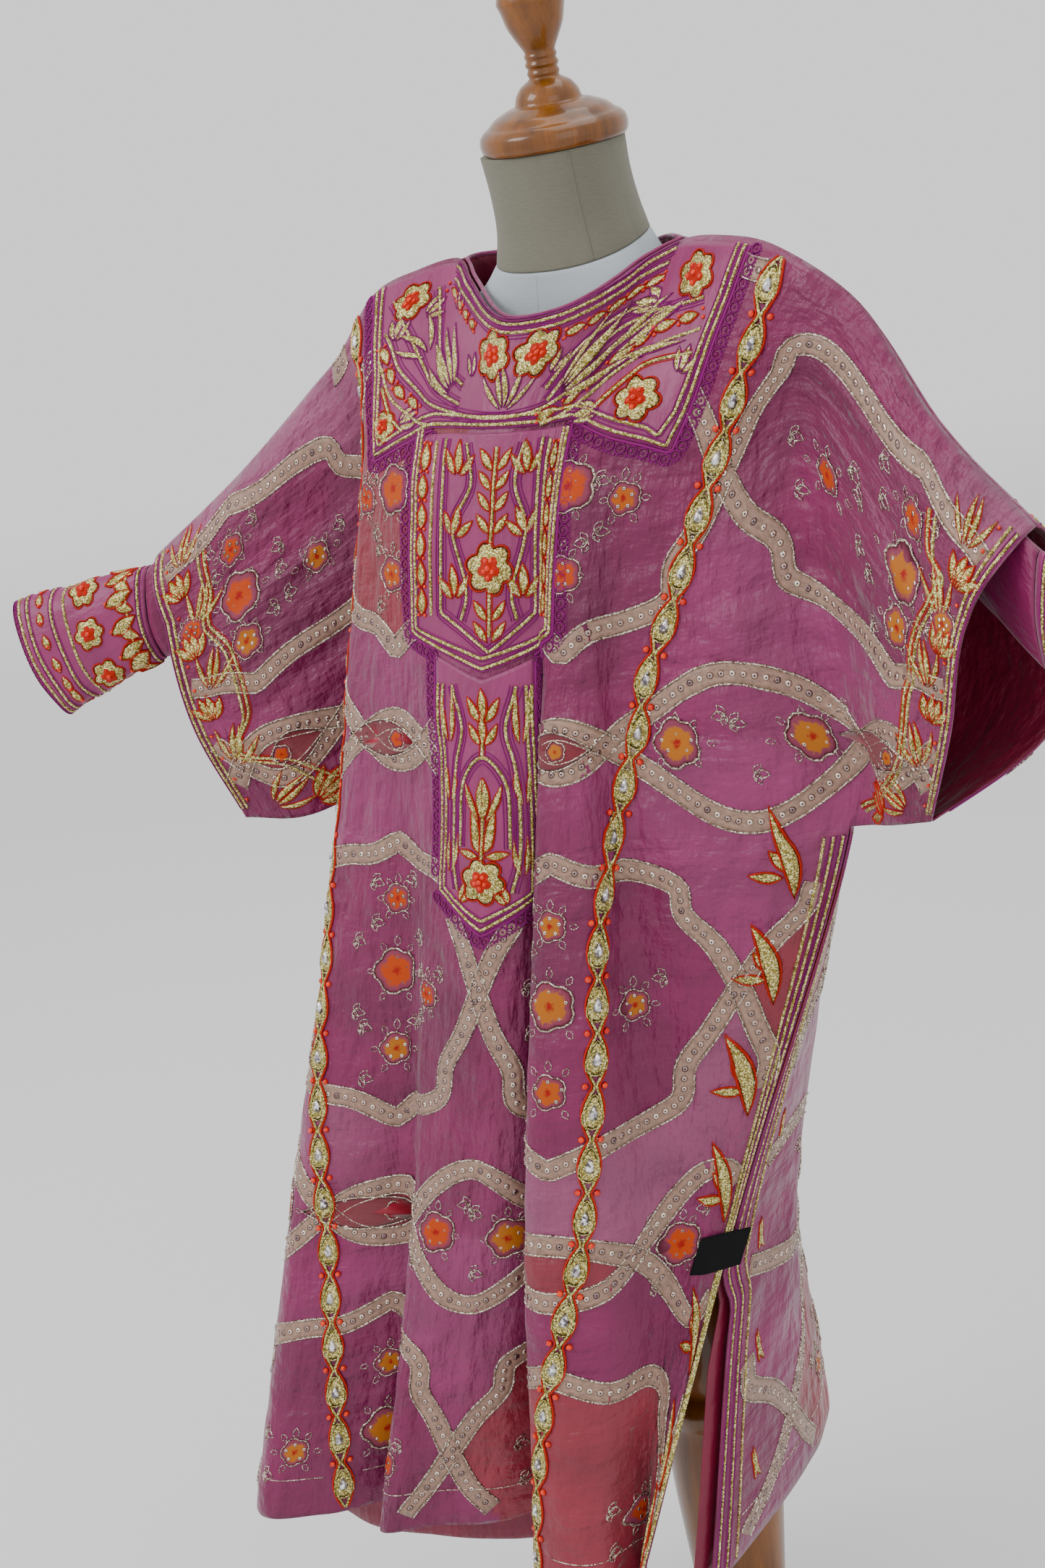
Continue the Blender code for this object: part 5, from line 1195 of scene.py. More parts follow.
def print_pieces(side, cloth, hidden):
    """Bands, stitches, sequins and flowers that lie on one wall of the cloth."""
    bands, stitches, sequins, blooms = (Stock(cloth) for _ in range(4))

    def clear(spots, edge, cover):
        return spots[on_cloth(spots, edge) & ~hidden(spots, cover)]

    for path in band_paths():
        for part in stretches(path, on_cloth(path, BAND_FROM_EDGE) & ~hidden(path, -0.004, False)):
            line = cloth.even(as_levels(part), BAND_STEP)
            if len(line) < 4:
                continue
            bands.tape(line, BAND_HALF, BAND_RAISE)
            for offset in (-BAND_HALF, BAND_HALF):
                stitches.strand(cloth.shifted(line, offset), *BAND_STITCH, 0, BAND_RAISE, STITCH_RING)
            dots = cloth.even(line, SEQUIN_STEP)[1:-1]
            sequins.stamp(dots, 0.0, SEQUIN_RADIUS, SEQUIN_FORM, 0, BAND_RAISE + 0.0001)
    low = HEM_DROP - HEM_STITCHED
    hem = np.linspace((FRONT.side_right, low), (FRONT.side_left, low), 200)
    for part in stretches(hem, on_cloth(hem, BAND_FROM_EDGE) & ~hidden(hem, 0.004)):
        stitches.strand(cloth.even(as_levels(part), BAND_STEP), *HEM_STITCH, ring=STITCH_RING)

    rows = bloom_places()
    rows = rows[on_cloth(rows, 0.016) & ~hidden(rows, 0.012)]
    places, radius = rows[:, :2], rows[:, 2]
    reach = radius[:, None]
    blooms.stamp(as_levels(places), 0.0, radius, dome_form(BLOOM, 0.05, rings=5), lift=0.0003)
    stitches.stamp(as_levels(places), 0.0, radius, rim_form(BLOOM, 0.055, 0.07), lift=0.0002)
    for turn in np.arange(5) * 2 * pi / 5:
        around = places + reach * (np.sin(turn), -np.cos(turn)) * 0.52
        sequins.stamp(as_levels(around), 0.0, 0.0017, SEQUIN_FORM, lift=0.0009)
    for leaf in LEAVES_ROUND:
        foot = clear(places + reach * (-sin(leaf.turn), -cos(leaf.turn)) * leaf.reach, 0.010, 0.004)
        stitches.stamp(as_levels(foot), leaf.turn, leaf.size, SMALL_LEAF_RIM, lift=0.0001)
    for across, down in SPRIGS:
        foot = clear(places + reach * (across, down), 0.014, 0.012)
        for turn, size in ((0.0, 0.0100), (1.0, 0.0080), (-1.0, 0.0080)):
            stitches.stamp(as_levels(foot), turn + 0.9 * across, size, SMALL_LEAF_RIM, lift=0.0001)
        sequins.stamp(as_levels(foot + (0, 0.004)), 0.0, 0.0016, SEQUIN_FORM, lift=0.0002)

    middles = np.array([((column + 0.5) * PRINT_ACROSS, PRINT_TOUCH + (row - 0.5) * PRINT_DOWN)
                        for row in PRINT_ROWS for column in PRINT_COLUMNS])
    middles = clear(middles, 0.03, 0.024)
    tips = as_levels(middles + (ALMOND_LONG / 2, 0))
    blooms.stamp(tips, pi / 2, ALMOND_LONG, dome_form(ALMOND, 0.010, rings=6), 1, 0.0003)
    stitches.stamp(tips, pi / 2, ALMOND_LONG, rim_form(ALMOND, 0.012, 0.022), lift=0.0003)
    blooms.stamp(as_levels(middles), 0.0, ALMOND_BLOOM, dome_form(BLOOM, 0.09), 0, 0.0006)
    stitches.stamp(as_levels(middles), 0.0, ALMOND_BLOOM, rim_form(BLOOM, 0.09, 0.10), lift=0.0008)
    return (bands.piece("print_bands_" + side, "band_silk"),
            stitches.piece("print_stitches_" + side, "silver"),
            sequins.piece("print_sequins_" + side, "sequin"),
            blooms.piece("print_flowers_" + side, "flower_silk", "silk_rose"))


# Embroidery: places are (flat, drop) in metres on the cloth laid flat

GOLD, PIPING, BEADS, CLEAR, PLUM = 0, 1, 2, 3, 4
NEEDLEWORK = ("gold", "piping", "orange_glass", "clear_glass", "purple_thread")
EDGES = {"gold": None, "piped": PIPING, "plum": PLUM}
YOKE_LIFT = 0.0010
YOKE_THICK = 0.0008
CORD_HALF = 0.0013
CORD_HEIGHT = 0.0012
PIPING_HALF = 0.00055
PIPING_HEIGHT = 0.0009
PIPING_OUT = 0.0021
ECHO_OUT = 0.0042
CHAIN_LIFT = 0.0006
CORD_STEP = 0.003
BORDER_STEP = 0.0028
BORDER_INSETS = (0.0026, 0.0086)
MOUTH_INSETS = ((0.0035, PLUM), (0.0095, None))
MOUTH_DROPS = (0.012, 0.360)
MOUTH_BEADS = (0.0155, 0.02, 0.35, 0.018)
EDGE_INSETS = ((0.0026, PLUM), (0.0078, PLUM), (0.0130, None))
EDGE_DROPS = (0.378, 0.896)
EDGE_CORD = 0.0011
SLIM_FROM = 0.030
LEAF_GAP = 0.16
SLEEVE_FOLD = 0.05

Line = namedtuple("Line", "kind smooth places")
YOKE_LINES = table(
    Line,
    ("plum", True, ((-0.104, 0.005), (-0.06, 0.005), (0.0, 0.005), (0.06, 0.005), (0.12, 0.005),
     (0.168, 0.005))),
    ("plum", True, ((-0.1, 0.012), (-0.06, 0.012), (0.0, 0.012), (0.06, 0.012), (0.12, 0.012),
     (0.164, 0.012))),
    ("plum", True, ((-0.17, 0.04), (-0.14, 0.066), (-0.095, 0.083), (-0.03, 0.087), (0.04, 0.085),
     (0.098, 0.071), (0.152, 0.049), (0.204, 0.034))),
    ("gold", True, ((-0.174, 0.058), (-0.144, 0.083), (-0.095, 0.097), (-0.05, 0.095))),
    ("gold", True, ((0.056, 0.095), (0.106, 0.087), (0.158, 0.067), (0.207, 0.052))),
    ("plum", True, ((-0.168, 0.018), (-0.14, 0.044), (-0.1, 0.07), (-0.04, 0.08))),
    ("plum", True, ((-0.12, 0.018), (-0.104, 0.04), (-0.08, 0.056), (-0.04, 0.066))),
    ("plum", True, ((0.058, 0.078), (0.084, 0.056), (0.13, 0.044), (0.18, 0.04))),
    ("plum", True, ((0.052, 0.068), (0.074, 0.044), (0.112, 0.033), (0.16, 0.034))),
    ("piped", True, ((0.122, 0.097), (0.142, 0.086), (0.17, 0.072), (0.204, 0.066))),
    ("piped", True, ((-0.12, 0.102), (-0.14, 0.094), (-0.162, 0.076))),
)


def mirrored(middle, kind, smooth, *places):
    """The same line on both sides of a middle flat, the wearer's right first: places are (out, drop)."""
    return tuple(Line(kind, smooth, tuple((middle + side * out, drop) for out, drop in places))
                 for side in (-1, 1))


UPPER_LINES = (
    *mirrored(0.009, "plum", False, (0.056, 0.104), (0.056, 0.214), (0.0, 0.238)),
    *mirrored(0.009, "gold", False, (0.068, 0.106), (0.068, 0.216)),
    Line("piped", True, ((0.009, 0.108), (0.01, 0.15), (0.008, 0.18), (0.009, 0.228))),
    *mirrored(0.009, "plum", True, (0.033, 0.106), (0.027, 0.134), (0.043, 0.164), (0.027, 0.2),
              (0.033, 0.218)),
)
LOWER_LINES = (
    *mirrored(0.003, "plum", True, (0.037, 0.262), (0.025, 0.29), (0.033, 0.325), (0.037, 0.37),
              (0.029, 0.412)),
    Line("piped", True, ((0.003, 0.27), (0.003, 0.3), (0.003, 0.318))),
    Line("plum", True, ((-0.024, 0.372), (-0.02, 0.338), (0.003, 0.316), (0.026, 0.338), (0.03, 0.372))),
    Line("piped", False, ((0.003, 0.352), (0.003, 0.368), (0.003, 0.386))),
)

GoldFlower = namedtuple("GoldFlower", "flat drop radius")
YOKE_FLOWERS = table(
    GoldFlower,
    (-0.01, 0.034, 0.0165), (0.031, 0.034, 0.0165), (0.194, 0.022, 0.0165), (0.17, 0.09, 0.0155),
    (-0.147, 0.022, 0.0145), (-0.148, 0.1, 0.0115),
)
UPPER_FLOWERS = (GoldFlower(0.009, 0.187, 0.0175),)
LOWER_FLOWERS = (GoldFlower(0.003, 0.402, 0.0165),)

Spray = namedtuple("Spray", "flat drop turn opening count length")
YOKE_SPRAYS = table(
    Spray,
    (0.01, 0.084, 0, 96, 5, 0.036), (0.066, 0.078, -54, 66, 5, 0.066), (0.132, 0.064, -62, 60, 3, 0.052),
    (-0.046, 0.076, 54, 66, 5, 0.058), (-0.106, 0.062, 44, 70, 3, 0.042), (0.142, 0.094, 84, 44, 3, 0.026),
    (0.196, 0.08, -20, 60, 3, 0.022), (-0.128, 0.1, -66, 50, 3, 0.024), (0.17, 0.038, 60, 50, 3, 0.026),
    (-0.158, 0.048, -10, 60, 3, 0.022), (-0.128, 0.036, -50, 60, 3, 0.022), (-0.03, 0.06, 24, 40, 2, 0.022),
    (0.051, 0.058, -24, 40, 2, 0.022), (-0.078, 0.026, 10, 90, 3, 0.02),
)
UPPER_SPRAYS = tuple(
    Spray(0.009, drop, 0, 86, 2, 0.023) for drop in (0.127, 0.141, 0.155, 0.169, 0.221, 0.234)
) + tuple(
    Spray(0.009 + side * out, drop, side * turn, 84, 3, size)
    for side in (-1, 1) for out, drop, turn, size in ((0.041, 0.13, 6, 0.024), (0.043, 0.17, 16, 0.024),
                                                      (0.04, 0.208, -4, 0.026))
)
LOWER_SPRAYS = (
    Spray(0.003, 0.288, 0, 84, 3, 0.024), Spray(0.003, 0.307, 0, 84, 3, 0.022),
    Spray(0.003, 0.366, 0, 62, 4, 0.046), Spray(0.003, 0.38, 0, 176, 4, 0.024),
) + tuple(
    Spray(0.003 + side * out, drop, side * turn, 36, 2, size)
    for side in (-1, 1) for out, drop, turn, size in ((0.041, 0.31, -4, 0.04), (0.042, 0.358, 2, 0.04),
                                                      (0.04, 0.404, 4, 0.036), (0.026, 0.424, 30, 0.02))
)
MOUTH_SPRAYS = tuple(
    Spray(flat, drop, turn, 76, 4, size) for flat, drop, turn, size in (
        (0.41, 0.062, 10, 0.034), (0.414, 0.104, -10, 0.027), (0.406, 0.146, 24, 0.036),
        (0.412, 0.188, -10, 0.027), (0.406, 0.232, 20, 0.036), (0.412, 0.272, -10, 0.027),
        (0.41, 0.316, 20, 0.038), (0.392, 0.356, 62, 0.036), (0.35, 0.362, 66, 0.03))
)
EDGE_SPRAYS = tuple(
    spray for drop in (0.44, 0.515, 0.59, 0.665, 0.765, 0.84, 0.895)
    for spray in (Spray(0.267, drop, 6, 0, 1, 0.08), Spray(0.262, drop - 0.03, 60, 56, 2, 0.03))
)
BACK_EDGE_SPRAYS = tuple(Spray(0.268, drop, 14, 40, 2, 0.034) for drop in (0.62, 0.7, 0.78, 0.86))
MOUTH_INNER = {
    "left": ((0.371, 0.058), (0.376, 0.094), (0.392, 0.107), (0.377, 0.184), (0.378, 0.268), (0.372, 0.317),
             (0.33, 0.352), (0.298, 0.362)),
    "right": ((-0.386, 0.06), (-0.385, 0.112), (-0.392, 0.15), (-0.3745, 0.193), (-0.3745, 0.27),
              (-0.401, 0.301), (-0.356, 0.319), (-0.33, 0.352), (-0.3, 0.362)),
}

Row = namedtuple("Row", "places step size")
YOKE_ROWS = table(
    Row,
    (((0.05, 0.09), (0.103, 0.079), (0.155, 0.058), (0.206, 0.043)), 0.019, 0.0165),
    (((-0.172, 0.049), (-0.142, 0.075), (-0.098, 0.09)), 0.018, 0.0155),
    (((0.054, 0.024), (0.104, 0.022), (0.164, 0.02)), 0.0165, 0.015),
    (((-0.04, 0.022), (-0.07, 0.02), (-0.108, 0.018)), 0.0165, 0.014),
)
UPPER_ROWS = tuple(Row(((flat, 0.216), (flat, 0.108)), 0.02, 0.018) for flat in (-0.0715, 0.0895))

CHAIN_EDGES = ((0.0, PIPING, 0.0008), (0.0019, GOLD, 0.0011))
DROP = drop_outline(14)
CHAIN_LINK = (
    (0.0225, dome_form(DROP, 0.035, 0.6, 0.9, crisp=True), GOLD, CHAIN_LIFT),
    (0.0245, rim_form(DROP, 0.030, 0.070), GOLD, CHAIN_LIFT),
    (0.0115, dome_form(DROP, 0.22, 0.55, 0.85), CLEAR, 0.0012),
)
PETALS = dome_form(round_outline(36, 6, 0.24), 0.13, 0.55, 0.85, crisp=True)
PETAL_RIM = rim_form(round_outline(36, 6, 0.24) * 1.06, 0.055, 0.10)
HEART = dome_form(round_outline(20, 5, 0.30), 0.20, 0.55, 0.85, crisp=True)
BEAD = dome_form(round_outline(8), 0.85, 0.62, 0.72)
LEAVES = {
    (slim, side): (dome_form(leaf_outline(width, 8, 0.9, side * bend), 0.05, 0.5, 0.9, crisp=True),
                   rim_form(leaf_outline(width * 1.2, 8, 0.9, side * bend), rim, rim * 1.8))
    for slim, width, bend, rim in ((False, 0.30, 0.10, 0.036), (True, 0.135, 0.20, 0.017))
    for side in (-1, 1)
}


class Needlework(Stock):
    """Gold cords, flowers and leaves with their piped edges and beads, on one cloth."""

    def cord(self, path, edge=None, half=CORD_HALF):
        """Gold cord along a path, with a thin cord of the edge's slot on both sides."""
        self.strand(path, half, CORD_HEIGHT, GOLD)
        if edge:
            self.thin_pair(path, PIPING_OUT, edge)

    def thin_pair(self, path, out, slot):
        """Two thin cords, so far out on both sides of a path."""
        for sign in (-1, 1):
            line = self.cloth.shifted(path, sign * out)
            self.strand(line, PIPING_HALF, PIPING_HEIGHT, slot, ring=STITCH_RING)

    def lines(self, rows):
        """Every line of a table, each as its kind says; plum ones have a purple cord further out too."""
        for row in rows:
            path = self.cloth.even(as_levels(row.places), CORD_STEP, row.smooth)
            self.cord(path, EDGES[row.kind])
            if row.kind == "plum":
                self.thin_pair(path, ECHO_OUT, PLUM)

    def flowers(self, rows):
        """Flowers of six gold petals with a piped edge, on each a raised orange heart with small beads."""
        rows = np.array(rows)
        places, radius = rows[:, :2], rows[:, 2]
        self.stamps(as_levels(places), 0.3, radius, (
            (1.0, PETALS, GOLD, 0.0), (1.0, PETAL_RIM, PIPING, 0.0), (0.54, HEART, PIPING, 0.0013)))
        for turn in np.arange(5) * 2 * pi / 5:
            around = places + 0.32 * radius[:, None] * (sin(turn), cos(turn))
            self.stamp(as_levels(around), 0.0, radius * 0.13, BEAD, BEADS, 0.0022)
        self.stamp(as_levels(places), 0.0, radius * 0.15, BEAD, BEADS, 0.0028)

    def sprays(self, rows, edge=PIPING):
        """Fans of curved gold leaves with edges, each fan spread evenly about its own direction."""
        made = {kind: [] for kind in LEAVES}
        for row in rows:
            for k in range(row.count):
                share = k / (row.count - 1) - 0.5 if row.count > 1 else 0.0
                turn = radians(row.turn + share * row.opening)
                out = row.length * LEAF_GAP
                kind = row.length > SLIM_FROM, 1 if share > 0 else -1
                made[kind].append((row.flat - out * sin(turn), row.drop - out * cos(turn), turn,
                                   row.length * (1 - LEAF_GAP) * (1 - 0.25 * abs(share))))
        for kind, found in made.items():
            if found:
                found = np.array(found)
                for form, slot in zip(LEAVES[kind], (GOLD, edge)):
                    self.stamp(as_levels(found[:, :2]), found[:, 2], found[:, 3], form, slot)

    def leaves(self, places, turns, size):
        """Short gold leaves with a piped edge."""
        self.stamps(places, turns, size, ((1.0, LEAF_FORM, GOLD, 0.0), (1.0, LEAF_RIM, PIPING, 0.0)))

    def leaf_rows(self, rows):
        """Rows of piped gold leaves with an orange bead on both sides between each two."""
        for row in rows:
            line = self.cloth.even(as_levels(row.places), row.step)
            self.leaves(line[:-1], self.cloth.heading(line)[:-1], row.size)
            for sign in (-1, 1):
                self.stamp(self.cloth.shifted(line, sign * 0.0030), 0.0, 0.0016, BEAD, BEADS, 0.0002)

    def done(self, name):
        """The piece, with the needlework's finishes."""
        return self.piece(name, *NEEDLEWORK)


def yoke_outline(inset):
    """Edge of the yoke drawn in by an inset: right edge down, lower edge to the left, left edge up."""
    right, low, left = (np.column_stack([np.array(line)[:, 0], drop_of(np.array(line)[:, 1])])
                        for line in (YOKE_RIGHT_EDGE, YOKE_BOTTOM[1:-1], YOKE_LEFT_EDGE[::-1]))
    right[-1, 1] -= inset
    left[0, 1] -= inset
    return np.concatenate([right + (inset, 0), low - (0, inset), left - (inset, 0)])


def yoke_grid():
    """Flats and levels of the yoke's panel: straight columns, the last row on the curved lower edge."""
    rows = np.linspace(0.03, 1.0, 34)
    right, left, low = np.array(YOKE_RIGHT_EDGE), np.array(YOKE_LEFT_EDGE), np.array(YOKE_BOTTOM)
    a, b = (np.interp(rows, line[:, 1], line[:, 0])[:, None] for line in (right, left))
    flats = a + (b - a) * np.linspace(0, 1, 111)
    end = np.interp(flats, low[:, 0], low[:, 1])
    return flats, rows[0] + (end - rows[0]) * (rows[:, None] - rows[0]) / (rows[-1] - rows[0])


def placket_grid(right, left, shoulder, tip, above):
    """Flats and levels of a placket: from what is above it down to its pointed end."""
    flat = np.linspace(right, left, 30)
    low = shoulder + (tip[1] - shoulder) * np.interp(flat, (right, tip[0], left), (0, 1, 0))
    above = np.array(above)
    top = np.interp(flat, above[:, 0], above[:, 1]) + 0.03
    share = np.linspace(0, 1, 60)[:, None]
    return np.tile(flat, (60, 1)), top * (1 - share) + low * share


def placket_outline(right, left, shoulder, tip, top, inset):
    """Both sides and the point of a placket, drawn in by an inset."""
    s, t = drop_of(shoulder) - inset * 0.4, drop_of(tip[1]) - inset * 1.15
    return (right + inset, top), (right + inset, s), (tip[0], t), (left - inset, s), (left - inset, top)


def worked_panel(cloth, names, grid, outline, line_rows, flowers, fans, leaves=(), leaf_edge=PIPING):
    """A thin silk panel on the cloth and its needlework: border cords, lines, flowers, fans and leaves."""
    ground, needlework, node = names
    flats, levels = grid
    place, normal = cloth.at(flats, levels)
    stock = Stock()
    faces = grid_faces(*flats.shape, flip=True)
    stock.add(place + normal * YOKE_LIFT, [faces], marks_of(flats, drop_of(levels)))
    settle(thicken(stock.piece(ground, "silk_ground"), YOKE_THICK), node, slot="embroidered_ground")
    work = Needlework(cloth, YOKE_LIFT)
    for inset in BORDER_INSETS:
        work.cord(cloth.even(as_levels(outline(inset)), BORDER_STEP, False), PLUM)
    work.lines(line_rows)
    work.flowers(flowers)
    work.sprays(fans, leaf_edge)
    work.leaf_rows(leaves)
    settle(work.done(needlework), slot="gold_braid")


def picot(stock, path, outward):
    """Looped lace: a purple cord, and a row of rings and beads beside it."""
    cloth = stock.cloth
    line = cloth.even(path, 0.003, False)
    stock.strand(cloth.shifted(line, -outward * 0.0014), 0.0012, 0.0014)
    rings = cloth.even(cloth.shifted(line, -outward * 0.0062), 0.0078)
    loop = rim_form(round_outline(10), 0.26, 0.42)
    stock.stamps(rings, 0.0, 1.0, ((0.0034, loop, 0, 0.0), (0.0013, BEAD, 0, 0.0)))
    stock.stamp(cloth.even(cloth.shifted(line, -outward * 0.0104), 0.0026), 0.0, 0.0010, BEAD)


def chain_piece(name, cloth, path):
    """Band of drop-shaped links: piped scalloped edges, gold links with a glass drop, beads at the waists.

    The edges stand off by a sine's size that is nought at each waist.
    """
    work = Needlework(cloth)
    line = cloth.even(path, 0.0026)
    run = run_of(cloth.at(*line.T)[0])
    count = max(1, round(run[-1] / CHAIN_UNIT))
    beat = np.abs(np.sin(pi * run * count / run[-1]))
    for inner, slot, half in CHAIN_EDGES:
        for sign in (-1, 1):
            out = sign * (CHAIN_NARROW + (CHAIN_WIDE - CHAIN_NARROW) * beat - inner)
            work.strand(cloth.shifted(line, out[:, None]), half, CORD_HEIGHT, slot, CHAIN_LIFT)
    middles = (np.arange(count) + 0.5) / count * run[-1]
    turns = np.interp(middles, run, np.unwrap(cloth.heading(line))) + pi
    work.stamps(line_at(middles, run, line), turns, 1.0, CHAIN_LINK)
    waists = np.arange(1, count) / count * run[-1]
    for sign in (-1, 1):
        near = line_at(waists, run, cloth.shifted(line, sign * 0.0066))
        work.stamp(near, 0.0, 0.0026, BEAD, BEADS, 0.0003)
    return work.done(name)


def border_piece(name, cloth, side):
    """Border of a wide sleeve's opening: two gold cords, a piped wavy inner line, leaf fans and beads."""
    work = Needlework(cloth)
    sign = 1 if side == "left" else -1
    top, low = MOUTH_DROPS
    for inset, edge in MOUTH_INSETS:
        flat = sign * (FRONT.flats[-1] - inset)
        work.cord(cloth.even(as_levels(np.linspace((flat, top), (flat, low), 60)), CORD_STEP), edge)
    inner = np.array(MOUTH_INNER[side])
    work.cord(cloth.even(as_levels(inner), BORDER_STEP), PIPING)
    work.cord(cloth.even(as_levels(inner + (sign * 0.006, 0.002)), BORDER_STEP))
    work.sprays([r._replace(flat=sign * r.flat, turn=sign * r.turn) for r in MOUTH_SPRAYS])
    inset, top, low, step = MOUTH_BEADS
    flat = sign * (FRONT.flats[-1] - inset)
    dots = cloth.even(as_levels(np.linspace((flat, top), (flat, low), 40)), step)
    work.stamp(dots, 0.0, 0.0016, BEAD, BEADS, 0.0002)
    return work.done(name)


def edge_piece(name, cloth, fans):
    """Cords along the side edge from the underarm to the hem, with leaf fans beside them."""
    work = Needlework(cloth)
    top, low = EDGE_DROPS
    for inset, edge in EDGE_INSETS:
        flat = FRONT.side_left - inset
        path = np.linspace((flat, top), (flat, low), 120)
        work.cord(cloth.even(as_levels(path), CORD_STEP), edge, EDGE_CORD)
    work.sprays(fans)
    return work.done(name)


# Cuffs, turned wood, dress form and stage

CUFF_RINGS = ((0.06, PLUM), (0.15, None), (0.62, None), (0.72, PLUM), (0.90, PLUM), (0.96, None))
CUFF_LEAVES = ((0.30, 0.35, 11, 0.024), (0.24, -0.5, 11, 0.018), (0.81, pi / 2, 14, 0.0130))
CUFF_FLOWER = ((0.0125, PETALS, GOLD, 0.0), (0.0125, PETAL_RIM, PIPING, 0.0),
               (0.0068, HEART, PIPING, 0.0011), (0.0024, BEAD, BEADS, 0.0022))
SLIP_BACK_WIDE = 0.57
SLIP_BACK_TOP = UNDERARM_LEVEL + 0.14
SLIP_EASES = 0.2
SLIP_HEM_EASES = 0.3
LATHE_STEPS = 5
LATHE_BLURS = 3
LATHE_LEAST = 0.0004
FORM_POWER = 2.3
FORM_FINE_SIDES = 96
FORM_ROWS = 60
FORM_SEAM = np.array(((-1, -0.4), (-0.5, 0.5), (0.5, 0.5), (1, -0.4))) * (0.0011, 0.0007)

Lamp = namedtuple("Lamp", "name x y z wide tall watts")
LAMPS = table(
    Lamp,
    ("key", -1.6, -2.6, 3.2, 1.6, 1.6, 70), ("fill", 3.0, -2.2, 2.2, 2.2, 2.2, 16),
    ("above", 0.2, 0.4, 3.6, 2.0, 2.0, 30),
)
LAMP_AIM = (0.0, -0.05, 0.85)
WORLD_STRENGTH = 1.0
CAMERA_TURN = 38.0
CAMERA_DOWN = 17.0
CAMERA_ROLL = 8.0
CAMERA_ASIDE = (-0.06915, -0.05113)
CAMERA_FAR = 60
SENSOR = 36.0
LENS = 53.14


def cloth_wall(name, cloth, sheet, outward, node):
    """Wall of printed silk with its plain inside: the panel's grid and a thin shell behind it."""
    s, t = np.meshgrid(cloth.flats, cloth.levels)
    middle = (cloth.flats[:-1] + cloth.flats[1:]) / 2
    body = (middle > sheet.side_right) & (middle < sheet.side_left)
    above = cloth.levels[:-1] < UNDERARM_LEVEL - 1e-9
    faces = grid_faces(*s.shape, flip=outward < 0, keep=above[:, None] | body[None, :])
    used, corners = np.unique(faces, return_inverse=True)
    flat, drop = s.ravel()[used], drop_of(t.ravel()[used])
    stock, faces = Stock(), corners.reshape(faces.shape)
    stock.add(cloth.grid.reshape(-1, 3)[used], [faces], np.column_stack([flat, drop]))
    wall = stock.piece(name, "silk_print", "silk_lining")
    colours = ground_colours(flat, drop, bpy.context.scene.thobe_colours)
    layer = wall.data.attributes.new("ground", "FLOAT_COLOR", "POINT")
    layer.data.foreach_set("color", np.column_stack([colours, np.ones(len(colours))]).ravel())
    settle(thicken(wall, 2 * WALL_HALF, inside=1), node, slot="printed_silk")


def sleeve_panel(sections, sign, raise_by, rows=30, sides=64):
    """Narrow sleeve as a panel: flat runs round it from its lowest line, level runs along it from the body.

    Each ring is an ellipse: half depth times the sine, half height times the cosine, with small folds.
    """
    table = smooth_line(np.arange(len(sections)), sections, np.linspace(0, len(sections) - 1, rows))
    angle = np.linspace(-pi, pi, sides + 1)
    x, y, drop, tall, deep, slant = (table[:, k, None] for k in range(6))
    fold = 1 - SLEEVE_FOLD * (1 + np.sin(5 * angle + 14 * np.arange(rows)[:, None] / rows)) / 2
    grid = np.stack([
        sign * (x + slant * np.cos(angle)),
        y + deep * fold * np.sin(angle),
        SHOULDER_HEIGHT + raise_by - drop + tall * fold * np.cos(angle),
    ], axis=2)
    outward = grid - grid[:, :-1].mean(axis=1, keepdims=True)
    normal = unit(np.cross(np.gradient(grid, axis=1), np.gradient(grid, axis=0)))
    flip = float(np.sign((normal * outward).sum()))
    girth, length = run_of(grid[rows // 2])[-1], run_of(grid[:, sides // 2])[-1]
    flats = np.linspace(-girth / 2, girth / 2, sides + 1)
    return Panel(flats, np.linspace(0, length, rows), grid, normal * flip, True), flip, girth, length


def tube_piece(name, panel, flip, finish):
    """Thin tube from a sleeve's panel, closed round, with its plain inside."""
    rows, columns = panel.grid.shape[0], panel.grid.shape[1] - 1
    stock = Stock()
    stock.add(panel.grid[:, :-1], [grid_faces(rows, columns, True, flip < 0)],
              marks_of(panel.flats[None, :-1], panel.levels[:, None]))
    return thicken(stock.piece(name, finish, "silk_lining"), LINING_THICK, inside=1)


def cuff_trim(name, panel, girth, length):
    """Gold rings round the cuff, rows of leaves and beads between them, lace at the open end."""

    def ring(share, reach, count):
        return np.column_stack([np.linspace(-reach, reach, count) * girth, np.full(count, share * length)])

    work = Needlework(panel)
    for share, edge in CUFF_RINGS:
        work.cord(ring(share, 0.49, 120), edge)
    for share, turn, count, size in CUFF_LEAVES:
        work.leaves(ring(share, 0.45, count), turn, size)
        work.stamp(ring(share, 0.45, count) + (0.0020, 0.0), 0.0, 0.0018, BEAD, BEADS, 0.0004)
    work.stamps(ring(0.47, 0.4, 6), 0.0, 1.0, CUFF_FLOWER)
    work.stamp(ring(0.995, 0.49, 120)[::2], 0.0, 0.0024, rim_form(round_outline(9), 0.30, 0.34), PLUM)
    return work.done(name)


